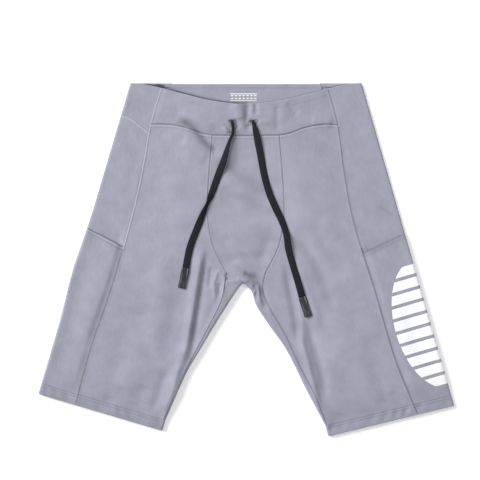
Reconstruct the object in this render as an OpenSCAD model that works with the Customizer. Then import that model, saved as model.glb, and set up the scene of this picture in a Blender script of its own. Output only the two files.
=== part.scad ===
// Padded impact shorts, lying flat as they come off a shelf.
// The front is up, the waist is towards +Y and the wearer's left is towards +X.
// Each leg has its own coordinates: "down" runs along the side fold from the waist,
// and "in" runs from the side fold towards the crotch, square to it.

/* [Size] */
// Width across the waist, lying flat
waist_w = 347; // [330:1:370]
// Side fold of the wearer's right leg, waist to hem
outseam_right = 484; // [465:1:510]
// Side fold of the wearer's left leg, waist to hem
outseam_left = 501; // [480:1:525]
// Angle of the right leg from straight down
splay_right = 16.5; // [15:0.1:18]
// Angle of the left leg from straight down
splay_left = 16; // [15:0.1:18]
// Width across a hem, lying flat
hem_w = 194; // [185:1:200]

/* [Cloth] */
// Thickness of one layer of the knit
cloth = 1; // [0.8:0.1:1.2]
// Underside of the side panels where they lie over the back
side_z = 7; // [7:0.5:8]
// Underside of the front panels where they lie over the back
front_z = 12; // [12:0.5:13]
// Height of the stitched hem
hem_h = 17; // [14:1:20]
// Height of the waistband at the back
band_h = 48; // [42:1:54]

/* [Pads] */
// Length of a thigh pad
pad_l = 150; // [120:1:155]
// Width of a thigh pad
pad_w = 42; // [36:1:44]
// Thickness of a thigh pad
pad_t = 3.4; // [2:0.1:3.4]
// Thickness of the tailbone pad
tail_t = 3; // [2:0.1:3.5]

/* [Drawcord] */
// Width of the flat drawcord
cord_w = 11; // [8:0.5:12]
// Thickness of the flat drawcord
cord_t = 1.8; // [1.2:0.1:2]
// Length of the sleeve on each end of the drawcord
tip_l = 31; // [20:1:34]

/* [Hidden] */
// These are on both legs. The right one is at -X (s = -1) and the left one at +X (s = 1).
PAIRED = [
    "front_panel", "front_pouch", "crotch_gusset", "side_panel", "pocket_panel", "hem_band",
    "back_panel", "waistband_front", "waistband_facing", "waistband_back", "waistband_lining",
    "waist_elastic", "buttonhole", "drawcord_run", "drawcord_end", "cord_tip",
    "thigh_pad", "tailbone_pad", "tailbone_sleeve"];

knit_grey = [0.40, 0.40, 0.46];
lining_grey = [0.45, 0.45, 0.51];
cord_black = [0.04, 0.04, 0.05];
tip_grey = [0.25, 0.26, 0.28];
foam_grey = [0.16, 0.17, 0.19];
elastic_white = [0.85, 0.85, 0.85];
print_white = [0.96, 0.96, 0.96];

centre_gap = 0.25;      // each half stops this far from the centre line, where the shorts fold
lip = 1;                // width of the turned edge that joins two levels of cloth
pocket_z = side_z + cloth + 4.6; // underside of the pocket layer
front_top = front_z + cloth;
band_top = front_top + cloth;
side_top = side_z + cloth;
hem_top = side_top + 2 * cloth;
curve_steps = 3;        // points added along each span of a curve

// The side folds, from the waist corners.
function outseam(s) = s < 0 ? outseam_right : outseam_left;
function splay(s) = s < 0 ? splay_right : splay_left;
function raw_leg(s, down, in) =
    [s * (waist_w / 2 + down * sin(splay(s)) - in * cos(splay(s))),
     -down * cos(splay(s)) - in * sin(splay(s))];

// How far down the leg the hem meets the inseam. The left hem is cut a little shorter there.
function inseam_down(s) = s < 0 ? outseam(s) : outseam(s) - 8;

// The frame's origin is at the middle of the shorts' outline, on the surface they lie on.
middle = [(raw_leg(1, outseam(1), 0)[0] + raw_leg(-1, outseam(-1), 0)[0]) / 2,
          min([for (s = [-1, 1]) raw_leg(s, inseam_down(s), hem_w)[1]]) / 2];
function leg(s, down, in) = raw_leg(s, down, in) - middle;
function from_waist(points) = [for (p = points) p - middle];
function mirror_to(s, points) = [for (p = points) [s * p[0], p[1]]];

// Curves through a few points.
function between(a, b, c, d, t) =
    0.5 * (2 * b + (c - a) * t + (2 * a - 5 * b + 4 * c - d) * t * t
           + (3 * b - a - 3 * c + d) * t * t * t);
function curve(points, steps = curve_steps) =
    let (n = len(points))
    concat([for (i = [0 : n - 2], k = [0 : steps - 1])
                between(points[max(i - 1, 0)], points[i], points[i + 1],
                        points[min(i + 2, n - 1)], k / steps)],
           [points[n - 1]]);
function backwards(points) = [for (i = [len(points) - 1 : -1 : 0]) points[i]];
function part_of(points, first, last) = [for (i = [first : last]) points[i]];

// The same line moved sideways, to the left of its own direction.
function beside(points, far) =
    [for (i = [0 : len(points) - 1])
        let (d = points[min(i + 1, len(points) - 1)] - points[max(i - 1, 0)])
        points[i] + far * [-d[1], d[0]] / norm(d)];

// The seam between side panel and front panel: its place down the leg, and in from the side fold.
function side_stations(s) = s < 0
    ? [[-8, 47], [50, 47], [112, 54], [180, 59], [300, 61], [395, 57], [484, 59]]
    : [[-5, 51], [53, 52], [122, 62], [200, 69], [305, 67], [410, 66], [501, 56]];
// The seam is straight between places 40 mm apart, so every piece along it has the same edge.
side_places = [-40 : 40 : 520];
function side_table(s) =
    let (line = curve(side_stations(s), 4)) [for (down = side_places) [down, lookup(down, line)]];
right_side_table = side_table(-1);
left_side_table = side_table(1);
function side_in(s, down) = lookup(down, s < 0 ? right_side_table : left_side_table);
function side_seam(s, first, last, inset = 0) =
    [for (down = concat([first],
                        [for (place = side_places) if (place > first + 2 && place < last - 2) place],
                        [last]))
        leg(s, down, side_in(s, down) - inset)];
tuck = 7;               // how far the panels run up inside the waistband
seam_top = -6;          // the front waist edge meets the side seam here
band_down = 50;         // the waistband's lower seam meets the side seam here
back_seam_in = 60;      // the side panel reaches this far round onto the back
function level_down(s) = -back_seam_in * tan(splay(s)); // where the back seam meets the waist
function hem_down(s) = outseam(s) - hem_h;

// The waistband's edge and lower seam, from the side seam to the centre.
function front_edge(s) =
    curve(from_waist(mirror_to(s, [[89, -18], [54, -26.5], [22, -31], [0, -32]])));
function band_seam(s) =
    curve(from_waist(mirror_to(s, [[114, -62], [87, -67], [66, -75], [50, -78]])));
function band_centre(s) = [[s * 22, -78.5] - middle, [0, -79] - middle];
function raised(points, up) = [for (p = points) p + [0, up]];

// The pouch's seam, from the waistband down to the crotch gusset.
function pouch_seam(s) =
    curve(from_waist(mirror_to(s, [[50, -78], [54, -124], [57, -174], [56, -209], [48, -246],
                                   [29, -284]])));
function pouch_foot(s) = from_waist([[0, -287]]);

// The inner edge of each leg, from the crotch to the hem, and the gusset's seam beside it.
function inner_edge(s) =
    concat(from_waist([[0, -302]]),
           curve(concat(from_waist(s < 0 ? [[-8, -302], [-39, -349], [-72, -404], [-90, -435]]
                                         : [[9, -312], [15, -332], [36, -364], [61, -400],
                                            [91, -460]]),
                        [leg(s, inseam_down(s) - hem_h, hem_w)])));
function gusset_seam(s) =
    curve(concat(from_waist(s < 0 ? [[-29, -284], [-36, -324], [-57, -367], [-75, -401],
                                     [-90, -430]]
                                  : [[29, -284], [25, -308], [33, -331], [58, -374], [83, -427],
                                     [106, -472]]),
                 [leg(s, inseam_down(s) - hem_h, hem_w - 2.5)]));
function gusset_back_seam(s) =
    concat(from_waist([[0, -270]]),
           curve(concat(from_waist(mirror_to(s, [[22, -284], [48, -326], [84, -392]])),
                        [leg(s, inseam_down(s) - hem_h, hem_w - 12)])));

// A flat piece of cloth, and a turned edge along a line.
module flat(outline, bottom, top) {
    translate([0, 0, bottom])
        linear_extrude(top - bottom)
            polygon(outline);
}
module edge(line, inset, width, bottom, top) {
    flat(concat(beside(line, inset), backwards(beside(line, inset + width))), bottom, top);
}

// What lies on one side of the centre line, so that the two halves can fold together.
module half(s) {
    big = 400;
    intersection() {
        children();
        translate([s > 0 ? centre_gap : -big, -big, -1])
            cube([big - centre_gap, 2 * big, 60]);
    }
}

// A strip between two places down the leg, over a range of widths.
function strip(s, d0, d1, in0, in1) =
    [leg(s, d0, in0), leg(s, d0, in1), leg(s, d1, in1), leg(s, d1, in0)];
// The hem runs at a slant on the left leg, so its lines are drawn from fold to inseam.
function hem_line(s, up, in) =
    leg(s, outseam(s) - up + (inseam_down(s) - outseam(s)) * in / hem_w, in);
function hem_strip(s, up0, up1, in0, in1) =
    [hem_line(s, up0, in0), hem_line(s, up0, in1), hem_line(s, up1, in1), hem_line(s, up1, in0)];

/* Front of the shorts */

module front_panel(s) {
    last_down = hem_down(s);
    color(knit_grey) half(s)
        flat(concat(side_seam(s, band_down, last_down - 4, lip),
                    [hem_line(s, hem_h - lip, side_in(s, last_down) - lip),
                     hem_line(s, hem_h - lip, hem_w - 2.5)],
                    backwards(gusset_seam(s)),
                    backwards(pouch_seam(s)),
                    backwards(raised(part_of(band_seam(s), 1, len(band_seam(s)) - 1), tuck)),
                    [band_seam(s)[0]]),
             front_z, front_top);
}

module front_pouch(s) {
    color(knit_grey) half(s)
        flat(concat(pouch_seam(s), pouch_foot(s), backwards(raised(band_centre(s), tuck)),
                    raised([pouch_seam(s)[0]], tuck)),
             front_z, front_top);
}

// The gusset lies between the legs and wraps the inner edge of each one.
module crotch_gusset(s) {
    side = inner_edge(s);
    color(knit_grey) half(s) {
        flat(concat(side, backwards(gusset_seam(s)), pouch_foot(s)), front_z, front_top);
        flat(concat(side, backwards(gusset_back_seam(s))), 0, cloth);
        edge(side, s < 0 ? -cloth : 0, cloth, 0, front_top);
    }
}

/* Sides and pockets */

// The V seam on the right side, where the waistband's side piece meets the side panel.
function v_seam(s) = curve([leg(s, 50, 0), leg(s, 52, 18), leg(s, 64, side_in(s, 64))], 2);

module side_panel(s) {
    first = s < 0 ? 64 : seam_top;
    last_down = hem_down(s);
    top_line = s < 0 ? part_of(v_seam(s), 0, 3) : [leg(s, 0, 0), leg(s, -4, 18)];
    fold_top = s < 0 ? 50 : 0;
    color(knit_grey) {
        flat(concat(top_line, side_seam(s, first, last_down - 4),
                    [hem_line(s, hem_h, side_in(s, last_down)), hem_line(s, hem_h, 0)]),
             side_z, side_top);
        flat([leg(s, fold_top, 0), leg(s, s < 0 ? fold_top : level_down(s), back_seam_in),
              hem_line(s, hem_h, back_seam_in), hem_line(s, hem_h, 0)],
             0, cloth);
        flat([leg(s, fold_top, 0), leg(s, fold_top, cloth), hem_line(s, hem_h, cloth),
              hem_line(s, hem_h, 0)],
             0, side_top);
        flat(concat(side_seam(s, first + lip, last_down - 4, lip),
                    backwards(side_seam(s, first + lip, last_down - 4))),
             side_z, front_z);
    }
}

// The pocket's mouth slants down from the side fold to the side seam.
function mouth_down(s) = s < 0 ? 226 : 234;
mouth_slant = 11;

module pocket_panel(s) {
    first = mouth_down(s) + mouth_slant;
    last_down = hem_down(s);
    // The pocket is closed at the fold, at the side seam and above the hem.
    fold_wall = concat([leg(s, mouth_down(s), 0), leg(s, mouth_down(s), lip)],
                       [hem_line(s, hem_h + lip, lip), hem_line(s, hem_h + lip, 0)]);
    color(knit_grey) {
        flat(concat([leg(s, mouth_down(s), 0)], side_seam(s, first, last_down - 4, lip),
                    [hem_line(s, hem_h + lip, side_in(s, last_down) - lip),
                     hem_line(s, hem_h + lip, 0)]),
             pocket_z, pocket_z + cloth);
        flat(fold_wall, side_top, pocket_z);
        flat(concat(side_seam(s, first, last_down - 4, 2 * lip),
                    backwards(side_seam(s, first, last_down - 4, lip))),
             side_top, pocket_z);
        flat(hem_strip(s, hem_h + 3 * lip, hem_h + 2 * lip, lip, side_in(s, last_down) - 2 * lip),
             side_top, pocket_z);
    }
}

// The double cloth ring round the leg opening.
module hem_band(s) {
    color(knit_grey) {
        flat(hem_strip(s, 0, hem_h, 0, hem_w), side_top, hem_top);
        flat(hem_strip(s, 0, hem_h, 0, hem_w), 0, 2 * cloth);
        flat(hem_strip(s, 0, hem_h, 0, 2 * cloth), 0, hem_top);
        flat(hem_strip(s, 0, hem_h, hem_w - 2 * cloth, hem_w), 0, hem_top);
        flat(hem_strip(s, hem_h - lip, hem_h, side_in(s, hem_down(s)), hem_w - 4), hem_top, front_z);
    }
}

/* Back of the shorts */

module back_panel(s) {
    color(knit_grey) half(s)
        flat(concat([[0, leg(s, 0, 0)[1] - band_h]],
                    [leg(s, band_h / cos(splay(s)) - back_seam_in * tan(splay(s)), back_seam_in),
                     hem_line(s, hem_h, back_seam_in), hem_line(s, hem_h, hem_w - 12)],
                    backwards(gusset_back_seam(s))),
             0, cloth);
}

/* Waistband */

waist_y = leg(1, 0, 0)[1];
function band_side_x(s, y) =
    s * (waist_w / 2 - back_seam_in / cos(splay(s)) + (waist_y - y) * tan(splay(s))) - middle[0];
function back_band(s, low, high) =
    [[0, high], [band_side_x(s, high), high], [band_side_x(s, low), low], [0, low]];

module waistband_front(s) {
    color(knit_grey) half(s) difference() {
        union() {
            flat(concat(side_seam(s, seam_top, band_down, lip), band_seam(s), band_centre(s),
                        backwards(front_edge(s))),
                 front_top, band_top);
            // The top and side edges are turned in over the facing.
            flat(concat(side_seam(s, seam_top + 2 * lip, band_down - lip, lip),
                        backwards(side_seam(s, seam_top + 2 * lip, band_down - lip))),
                 front_z, front_top);
            edge(front_edge(s), s < 0 ? -lip : 0, lip, front_z - cloth, band_top);
        }
        cord_slot(s, front_z, band_top + 1);
    }
}

module waistband_facing(s) {
    top = beside(front_edge(s), s < 0 ? -lip : lip);
    color(lining_grey) half(s)
        flat(concat(side_seam(s, seam_top + lip, band_down), band_seam(s), band_centre(s),
                    backwards(top)),
             front_z - cloth, front_z);
}

module right_waistband_side() {
    s = -1;
    color(knit_grey) {
        flat(concat([leg(s, 0, 0), leg(s, -4, 18)], side_seam(s, seam_top, 64),
                    backwards(part_of(v_seam(s), 0, 3))),
             side_z, side_top);
        flat(strip(s, 0, 50, 0, cloth), 0, side_top);
        flat([leg(s, 0, 0), leg(s, level_down(s), back_seam_in), leg(s, 50, back_seam_in),
              leg(s, 50, 0)],
             0, cloth);
        flat(concat(side_seam(s, seam_top + lip, 62, lip),
                    backwards(side_seam(s, seam_top + lip, 62))),
             side_z, front_z);
    }
}

lining_z = 2.2 * cloth;  // underside of the back waistband's lining
module waistband_back(s) {
    color(knit_grey) half(s) {
        flat(back_band(s, waist_y - band_h, waist_y), 0, cloth);
        flat(back_band(s, waist_y - 2 * lip, waist_y), 0, lining_z + cloth);
    }
}
module waistband_lining(s) {
    color(lining_grey) half(s)
        flat(back_band(s, waist_y - band_h, waist_y - 2 * lip), lining_z, lining_z + cloth);
}
module waist_elastic(s) {
    color(elastic_white) half(s)
        flat(back_band(s, waist_y - band_h + 8, waist_y - 6), cloth, lining_z);
}

/* Drawcord */

// Each end comes out of a buttonhole and lies on the front. These are its points, in the frame.
function cord_route(s) = s < 0
    ? [[-21, 207, 15.8], [-20, 191, 15.6], [-26, 174, 14.6], [-34, 147, 14.4], [-43, 123, 14.4],
       [-53, 95, 14.4], [-63, 72, 14.4], [-74, 45, 14.4], [-84, 18, 14.4], [-90, -12, 14.4]]
    : [[10, 207, 15.8], [15, 187, 15.6], [21, 158, 14.6], [26, 130, 14.4], [33, 103, 14.4],
       [43, 79, 14.4], [53, 58, 14.4], [60, 37, 14.4], [63, 16, 14.4], [70, -10, 14.4],
       [78, -37, 14.4], [83, -55, 14.4]];
function tip_end(s) = s < 0 ? [-97, -46, 14.4] : [93, -85, 14.4];

module cord_slot(s, bottom, top) {
    hole = cord_route(s)[0];
    translate([hole[0] - 5, hole[1] - 1.5, bottom])
        cube([10, 3, top - bottom]);
}

// The stitched rim of the slot that the cord comes out of.
module buttonhole(s) {
    hole = cord_route(s)[0];
    color(knit_grey) difference() {
        translate([hole[0] - 7, hole[1] - 3.5, band_top])
            cube([14, 7, 0.6]);
        cord_slot(s, band_top - 1, band_top + 2);
    }
}

// The hidden stretch runs inside the band from the slot to a tack at the side seam.
module drawcord_run(s) {
    hole = cord_route(s)[0];
    far = side_seam(s, 16, 28, -3, 1);
    middle_run = [s * 84, hole[1] + 11];
    line = [[hole[0], hole[1]], middle_run, (far[0] + far[1]) / 2];
    color(cord_black)
        flat(concat(beside(line, cord_w / 2), backwards(beside(line, -cord_w / 2))),
             front_z, front_top);
}

// A flat tube swept along a route, with eight sides.
function flat_ring(p, along, w, t) =
    let (a = [along[0], along[1], 0] / norm([along[0], along[1]]),
         across = [-a[1], a[0], 0],
         half_flat = w / 2 - t / 4)
    [for (q = [[-w / 2, -t / 4], [-half_flat, -t / 2], [half_flat, -t / 2], [w / 2, -t / 4],
               [w / 2, t / 4], [half_flat, t / 2], [-half_flat, t / 2], [-w / 2, t / 4]])
        p + across * q[0] + [0, 0, q[1]]];
module flat_tube(route, w, t) {
    n = len(route);
    rings = [for (i = [0 : n - 1])
                flat_ring(route[i], route[min(i + 1, n - 1)] - route[max(i - 1, 0)], w, t)];
    polyhedron(
        points = [for (r = rings, p = r) p],
        faces = concat([[for (k = [0 : 7]) k]],
                       [for (i = [0 : n - 2], k = [0 : 7], half_quad = [0, 1])
                           let (a = i * 8 + k, b = i * 8 + (k + 1) % 8)
                           half_quad == 0 ? [a, a + 8, b] : [b, a + 8, b + 8]],
                       [[for (k = [7 : -1 : 0]) (n - 1) * 8 + k]]));
}
module drawcord_end(s) {
    color(cord_black)
        flat_tube(curve(cord_route(s), 2), cord_w, cord_t);
}
module cord_tip(s) {
    route = cord_route(s);
    from = route[len(route) - 1];
    way = (tip_end(s) - from) / norm(tip_end(s) - from);
    color(tip_grey)
        flat_tube([from, from + way * tip_l / 2, from + way * tip_l], cord_w + 0.6, cord_t + 0.6);
}

/* Pads */

// A rectangle with round corners in the leg's own coordinates.
function round_strip(s, d0, d1, in0, in1, r) =
    [for (c = [[d0 + r, in0 + r, 180], [d0 + r, in1 - r, 90], [d1 - r, in1 - r, 0],
               [d1 - r, in0 + r, -90]],
          k = [0 : 4])
        let (angle = c[2] + 90 - k * 22.5)
        leg(s, c[0] + r * cos(angle), c[1] + r * sin(angle))];
pad_below_mouth = 20;
pad_clear = 0.3;
// The pad slides out along the leg, so it keeps clear of the side seam all the way up.
function pad_middle_in(s) = s < 0 ? 26 : 32;
module thigh_pad(s) {
    first = mouth_down(s) + mouth_slant + pad_below_mouth;
    middle_in = pad_middle_in(s);
    color(foam_grey)
        flat(round_strip(s, first, first + pad_l, middle_in - pad_w / 2, middle_in + pad_w / 2, 12),
             side_top + pad_clear, side_top + pad_clear + pad_t);
}

// The tailbone pad is in two halves on either side of the centre back seam.
tail_top = -96;
tail_low = -206;
function tail_outline(s, more) =
    from_waist(mirror_to(s, [[0, tail_top + more], [40 + more, tail_top + more],
                             [52 + more, tail_top - 12], [50 + more, tail_top - 50],
                             [30 + more, tail_low + 12 - more / 2], [18 + more / 2, tail_low - more],
                             [0, tail_low - more]]));
module tailbone_pad(s) {
    color(foam_grey) half(s)
        flat(tail_outline(s, 0), cloth, cloth + tail_t);
}
module tailbone_sleeve(s) {
    color(lining_grey) half(s) difference() {
        flat(tail_outline(s, 8), cloth, 2 * cloth + tail_t);
        flat(tail_outline(s, 0), cloth - 1, cloth + tail_t);
    }
}

/* Print */

// Plain bars across the left pocket, which together make half of an oval.
module left_leg_print() {
    s = 1;
    first = 280;
    bars = 10;
    pitch = 19;
    bar_h = 14;
    widest = 55;
    film = 0.2;
    half_length = ((bars - 1) * pitch + bar_h) / 2 + 6;
    function reach(d) = widest * sqrt(1 - pow((d - first - half_length + 6) / half_length, 2));
    color(print_white)
        for (i = [0 : bars - 1])
            let (d = first + i * pitch)
            flat([leg(s, d, 0.5), leg(s, d, reach(d)), leg(s, d + bar_h, reach(d + bar_h)),
                  leg(s, d + bar_h, 0.5)],
                 pocket_z + cloth, pocket_z + cloth + film);
}

/* Assembly */

front_panel(-1);  // right_front_panel
front_panel(1);  // left_front_panel
front_pouch(-1);  // right_front_pouch
front_pouch(1);  // left_front_pouch
crotch_gusset(-1);  // right_crotch_gusset
crotch_gusset(1);  // left_crotch_gusset
side_panel(-1);  // right_side_panel
side_panel(1);  // left_side_panel
pocket_panel(-1);  // right_pocket_panel
pocket_panel(1);  // left_pocket_panel
hem_band(-1);  // right_hem_band
hem_band(1);  // left_hem_band
back_panel(-1);  // right_back_panel
back_panel(1);  // left_back_panel
waistband_front(-1);  // right_waistband_front
waistband_front(1);  // left_waistband_front
waistband_facing(-1);  // right_waistband_facing
waistband_facing(1);  // left_waistband_facing
waistband_back(-1);  // right_waistband_back
waistband_back(1);  // left_waistband_back
waistband_lining(-1);  // right_waistband_lining
waistband_lining(1);  // left_waistband_lining
waist_elastic(-1);  // right_waist_elastic
waist_elastic(1);  // left_waist_elastic
buttonhole(-1);  // right_buttonhole
buttonhole(1);  // left_buttonhole
drawcord_run(-1);  // right_drawcord_run
drawcord_run(1);  // left_drawcord_run
drawcord_end(-1);  // right_drawcord_end
drawcord_end(1);  // left_drawcord_end
cord_tip(-1);  // right_cord_tip
cord_tip(1);  // left_cord_tip
thigh_pad(-1);  // right_thigh_pad
thigh_pad(1);  // left_thigh_pad
tailbone_pad(-1);  // right_tailbone_pad
tailbone_pad(1);  // left_tailbone_pad
tailbone_sleeve(-1);  // right_tailbone_sleeve
tailbone_sleeve(1);  // left_tailbone_sleeve
right_waistband_side();
left_leg_print();
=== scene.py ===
import math
import bmesh
import bpy
import numpy as np
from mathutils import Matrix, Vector


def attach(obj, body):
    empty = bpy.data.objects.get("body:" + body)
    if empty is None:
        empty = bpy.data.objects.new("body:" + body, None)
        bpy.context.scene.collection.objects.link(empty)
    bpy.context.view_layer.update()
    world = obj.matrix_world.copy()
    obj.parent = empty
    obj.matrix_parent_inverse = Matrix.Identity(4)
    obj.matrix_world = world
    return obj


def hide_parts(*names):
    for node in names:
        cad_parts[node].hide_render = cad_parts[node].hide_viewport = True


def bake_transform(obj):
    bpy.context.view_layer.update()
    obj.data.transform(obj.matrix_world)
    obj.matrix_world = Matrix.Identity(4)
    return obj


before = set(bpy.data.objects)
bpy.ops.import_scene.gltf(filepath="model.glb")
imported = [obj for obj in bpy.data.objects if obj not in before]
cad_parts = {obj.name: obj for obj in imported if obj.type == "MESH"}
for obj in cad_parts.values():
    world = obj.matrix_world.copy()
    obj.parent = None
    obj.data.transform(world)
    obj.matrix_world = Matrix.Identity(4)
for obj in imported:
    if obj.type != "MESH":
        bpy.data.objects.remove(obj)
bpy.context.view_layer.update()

# Padded impact shorts, lying flat. Lengths in this script are in millimetres until a mesh is made.
# s is -1 for the wearer's right leg, at -X, and 1 for the left leg, at +X.
MM = 0.001
SIDES = {-1: "right", 1: "left"}

# ---------------------------------------------------------------- camera, which looks straight down

camera_data = bpy.data.cameras.new("camera")
camera_data.lens, camera_data.sensor_width = 100, 36
camera_data.clip_start, camera_data.clip_end = 0.05, 30
camera = bpy.data.objects.new("camera", camera_data)
camera.location = (-0.0094, 0.0297, 2.0)
bpy.context.collection.objects.link(camera)
bpy.context.scene.camera = camera

# ---------------------------------------------------------------- the design's own lines

WAIST = 347
# How far down the leg the hem is, at the side fold and at the inner edge.
OUTSEAM = {-1: 484, 1: 501}
INSEAM_DOWN = {-1: 484, 1: 493}
SPLAY = {-1: math.radians(16.5), 1: math.radians(16)}
HEM_W, HEM_H, BAND_H = 194, 17, 48
# The back panels start this far in from the side folds.
BACK_IN = 60
# The side seams: (down, in from the side fold).
SIDE_STATIONS = {
    -1: [(-8, 47), (50, 47), (112, 54), (180, 59), (300, 61), (395, 57), (484, 59)],
    1: [(-5, 51), (53, 52), (122, 62), (200, 69), (305, 67), (410, 66), (501, 56)],
}
SEAM_TOP, BAND_DOWN = -6, 50
# The pocket mouths: how far down at the side fold, and how much further at the seam.
MOUTH_DOWN = {-1: 226, 1: 234}
MOUTH_SLANT = 11


def raw_leg(s, down, inn):
    down, inn = np.asarray(down, float), np.asarray(inn, float)
    a = SPLAY[s]
    return np.stack([s * (WAIST / 2 + down * math.sin(a) - inn * math.cos(a)),
                     -down * math.cos(a) - inn * math.sin(a)], -1)


MIDDLE = np.array([
    (raw_leg(1, OUTSEAM[1], 0)[0] + raw_leg(-1, OUTSEAM[-1], 0)[0]) / 2,
    min(raw_leg(s, INSEAM_DOWN[s], HEM_W)[1] for s in (-1, 1)) / 2])


def leg(s, down, inn):
    """A place on the flat leg: down along the side fold, and in from it."""
    return raw_leg(s, down, inn) - MIDDLE


def leg_place(s, x, y):
    """The other way: (down, in) of a place in the frame."""
    a = SPLAY[s]
    u = s * (x + MIDDLE[0]) - WAIST / 2
    v = -(y + MIDDLE[1])
    return math.sin(a) * u + math.cos(a) * v, math.sin(a) * v - math.cos(a) * u


def spline(points, steps=16):
    """A Catmull-Rom curve through the points."""
    p = np.asarray(points, float)
    n = len(p)
    if n < 3:
        return p
    out = []
    t = np.arange(steps)[:, None] / steps
    for i in range(n - 1):
        a, b, c, d = p[max(i - 1, 0)], p[i], p[i + 1], p[min(i + 2, n - 1)]
        out.append(0.5 * (2 * b + (c - a) * t + (2 * a - 5 * b + 4 * c - d) * t * t
                          + (3 * b - a - 3 * c + d) * t ** 3))
    return np.vstack(out + [p[-1:]])


def lengths(p):
    return np.concatenate([[0], np.cumsum(np.linalg.norm(np.diff(p, axis=0), axis=1))])


def along(p, t):
    """Points at the fractions t of a line's length."""
    p = np.asarray(p, float)
    s = lengths(p)
    t = np.asarray(t) * s[-1]
    return np.stack([np.interp(t, s, p[:, k]) for k in range(p.shape[1])], -1)


def waist(points, s=1):
    return np.array([(s * x, y) for x, y in points], float) - MIDDLE


def join(*lines):
    return np.vstack([np.atleast_2d(a) for a in lines])


SIDE_CURVE = {s: spline(SIDE_STATIONS[s], 12) for s in SIDES}


def side_in(s, down):
    return np.interp(down, SIDE_CURVE[s][:, 0], SIDE_CURVE[s][:, 1])


def side_seam(s, first, last, inset=0.0, n=160):
    down = np.linspace(first, last, n)
    return leg(s, down, side_in(s, down) - inset)


def hem_down(s, up, inn):
    return OUTSEAM[s] - up + (INSEAM_DOWN[s] - OUTSEAM[s]) * np.asarray(inn) / HEM_W


def hem_place(s, up, inn):
    return leg(s, hem_down(s, up, inn), inn)


def front_edge(s):
    """The front waist edge, from the side seam to the centre."""
    return spline(join(leg(s, SEAM_TOP, side_in(s, SEAM_TOP)),
                       waist([(89, -18), (54, -26.5), (22, -31), (0, -32)], s)))


def band_seam(s):
    """The front waistband's lower seam, from the side seam to the pouch's seam."""
    return spline(join(leg(s, BAND_DOWN, side_in(s, BAND_DOWN)),
                       waist([(114, -62), (87, -67), (66, -75), (50, -78)], s)))


def band_centre(s):
    return waist([(50, -78), (22, -78.5), (0, -79)], s)


def pouch_seam(s):
    return spline(waist([(50, -78), (54, -124), (57, -174), (56, -209), (48, -246), (29, -284)], s))


POUCH_FOOT = waist([(0, -287)])[0]


def inner_edge(s):
    """The inner edge of a leg, from the crotch to the hem."""
    points = ([(-8, -302), (-39, -349), (-72, -404), (-90, -435)] if s < 0 else
              [(9, -312), (15, -332), (36, -364), (61, -400), (91, -460)])
    return spline(join(waist([(0, -302)]), waist(points), hem_place(s, HEM_H, HEM_W)))


def gusset_seam(s):
    points = ([(-29, -284), (-36, -324), (-57, -367), (-75, -401), (-90, -430)] if s < 0 else
              [(29, -284), (25, -308), (33, -331), (58, -374), (83, -427), (106, -472)])
    return spline(join(waist(points), hem_place(s, HEM_H, HEM_W - 2.5)))


def gusset_back_seam(s):
    return spline(join(waist([(0, -270), (22, -284), (48, -326), (84, -392)], s),
                       hem_place(s, HEM_H, HEM_W - 12)))


def v_seam_down(inn):
    line = spline([(0, 50), (18, 52), (47, 64)])
    return np.interp(inn, line[:, 0], line[:, 1])


# ---------------------------------------------------------------- the lie of the cloth


def smooth(t):
    t = np.clip(t, 0, 1)
    return t * t * (3 - 2 * t)


def rounded(t):
    """A quarter circle: steep at 0, level from 1 on."""
    return np.sqrt(1 - (1 - np.clip(t, 0, 1)) ** 2)


def to_line(x, y, line, reach=None):
    """Distance to a line, which side it's on, and how far along it the nearest place is.
    Places further away than reach, where it's given, are only said to be that far."""
    line = np.asarray(line, float)
    x, y = np.asarray(x, float), np.asarray(y, float)
    p = np.stack([x.ravel(), y.ravel()], -1)
    most = np.inf if reach is None else float(reach)
    near = np.all((p > line.min(0) - most) & (p < line.max(0) + most), axis=1)
    q = p[near]
    nearest = np.full(len(q), np.inf)
    q_side, q_where = np.ones(len(q)), np.zeros(len(q))
    run = lengths(line)
    for i in range(len(line) - 1):
        a, d = line[i], line[i + 1] - line[i]
        length2 = max(d @ d, 1e-9)
        ox, oy = q[:, 0] - a[0], q[:, 1] - a[1]
        t = np.clip((ox * d[0] + oy * d[1]) / length2, 0, 1)
        ex, ey = ox - t * d[0], oy - t * d[1]
        far = ex * ex + ey * ey
        closer = far < nearest
        nearest = np.where(closer, far, nearest)
        q_side = np.where(closer, np.sign(d[0] * ey - d[1] * ex), q_side)
        q_where = np.where(closer, (run[i] + t * math.sqrt(length2)) / run[-1], q_where)
    distance, side, where = np.full(len(p), most), np.ones(len(p)), np.zeros(len(p))
    distance[near] = np.minimum(np.sqrt(nearest), most)
    side[near], where[near] = q_side, q_where
    return distance.reshape(x.shape), side.reshape(x.shape), where.reshape(x.shape)


def wavy(x, y, size, seed):
    """Smooth random waves of about that size, from -1 to 1, the same in every run."""
    rng = np.random.RandomState(seed)
    total = np.zeros(np.shape(x))
    for k in range(7):
        a = rng.uniform(0, math.pi)
        f = 2 * math.pi / (size * rng.uniform(0.7, 1.6))
        total += np.sin(f * (x * math.cos(a) + y * math.sin(a)) + rng.uniform(0, 6.3)
                        + 1.3 * np.sin(f * 0.37 * (y * math.cos(a) - x * math.sin(a)) + k))
    return total / 4


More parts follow.
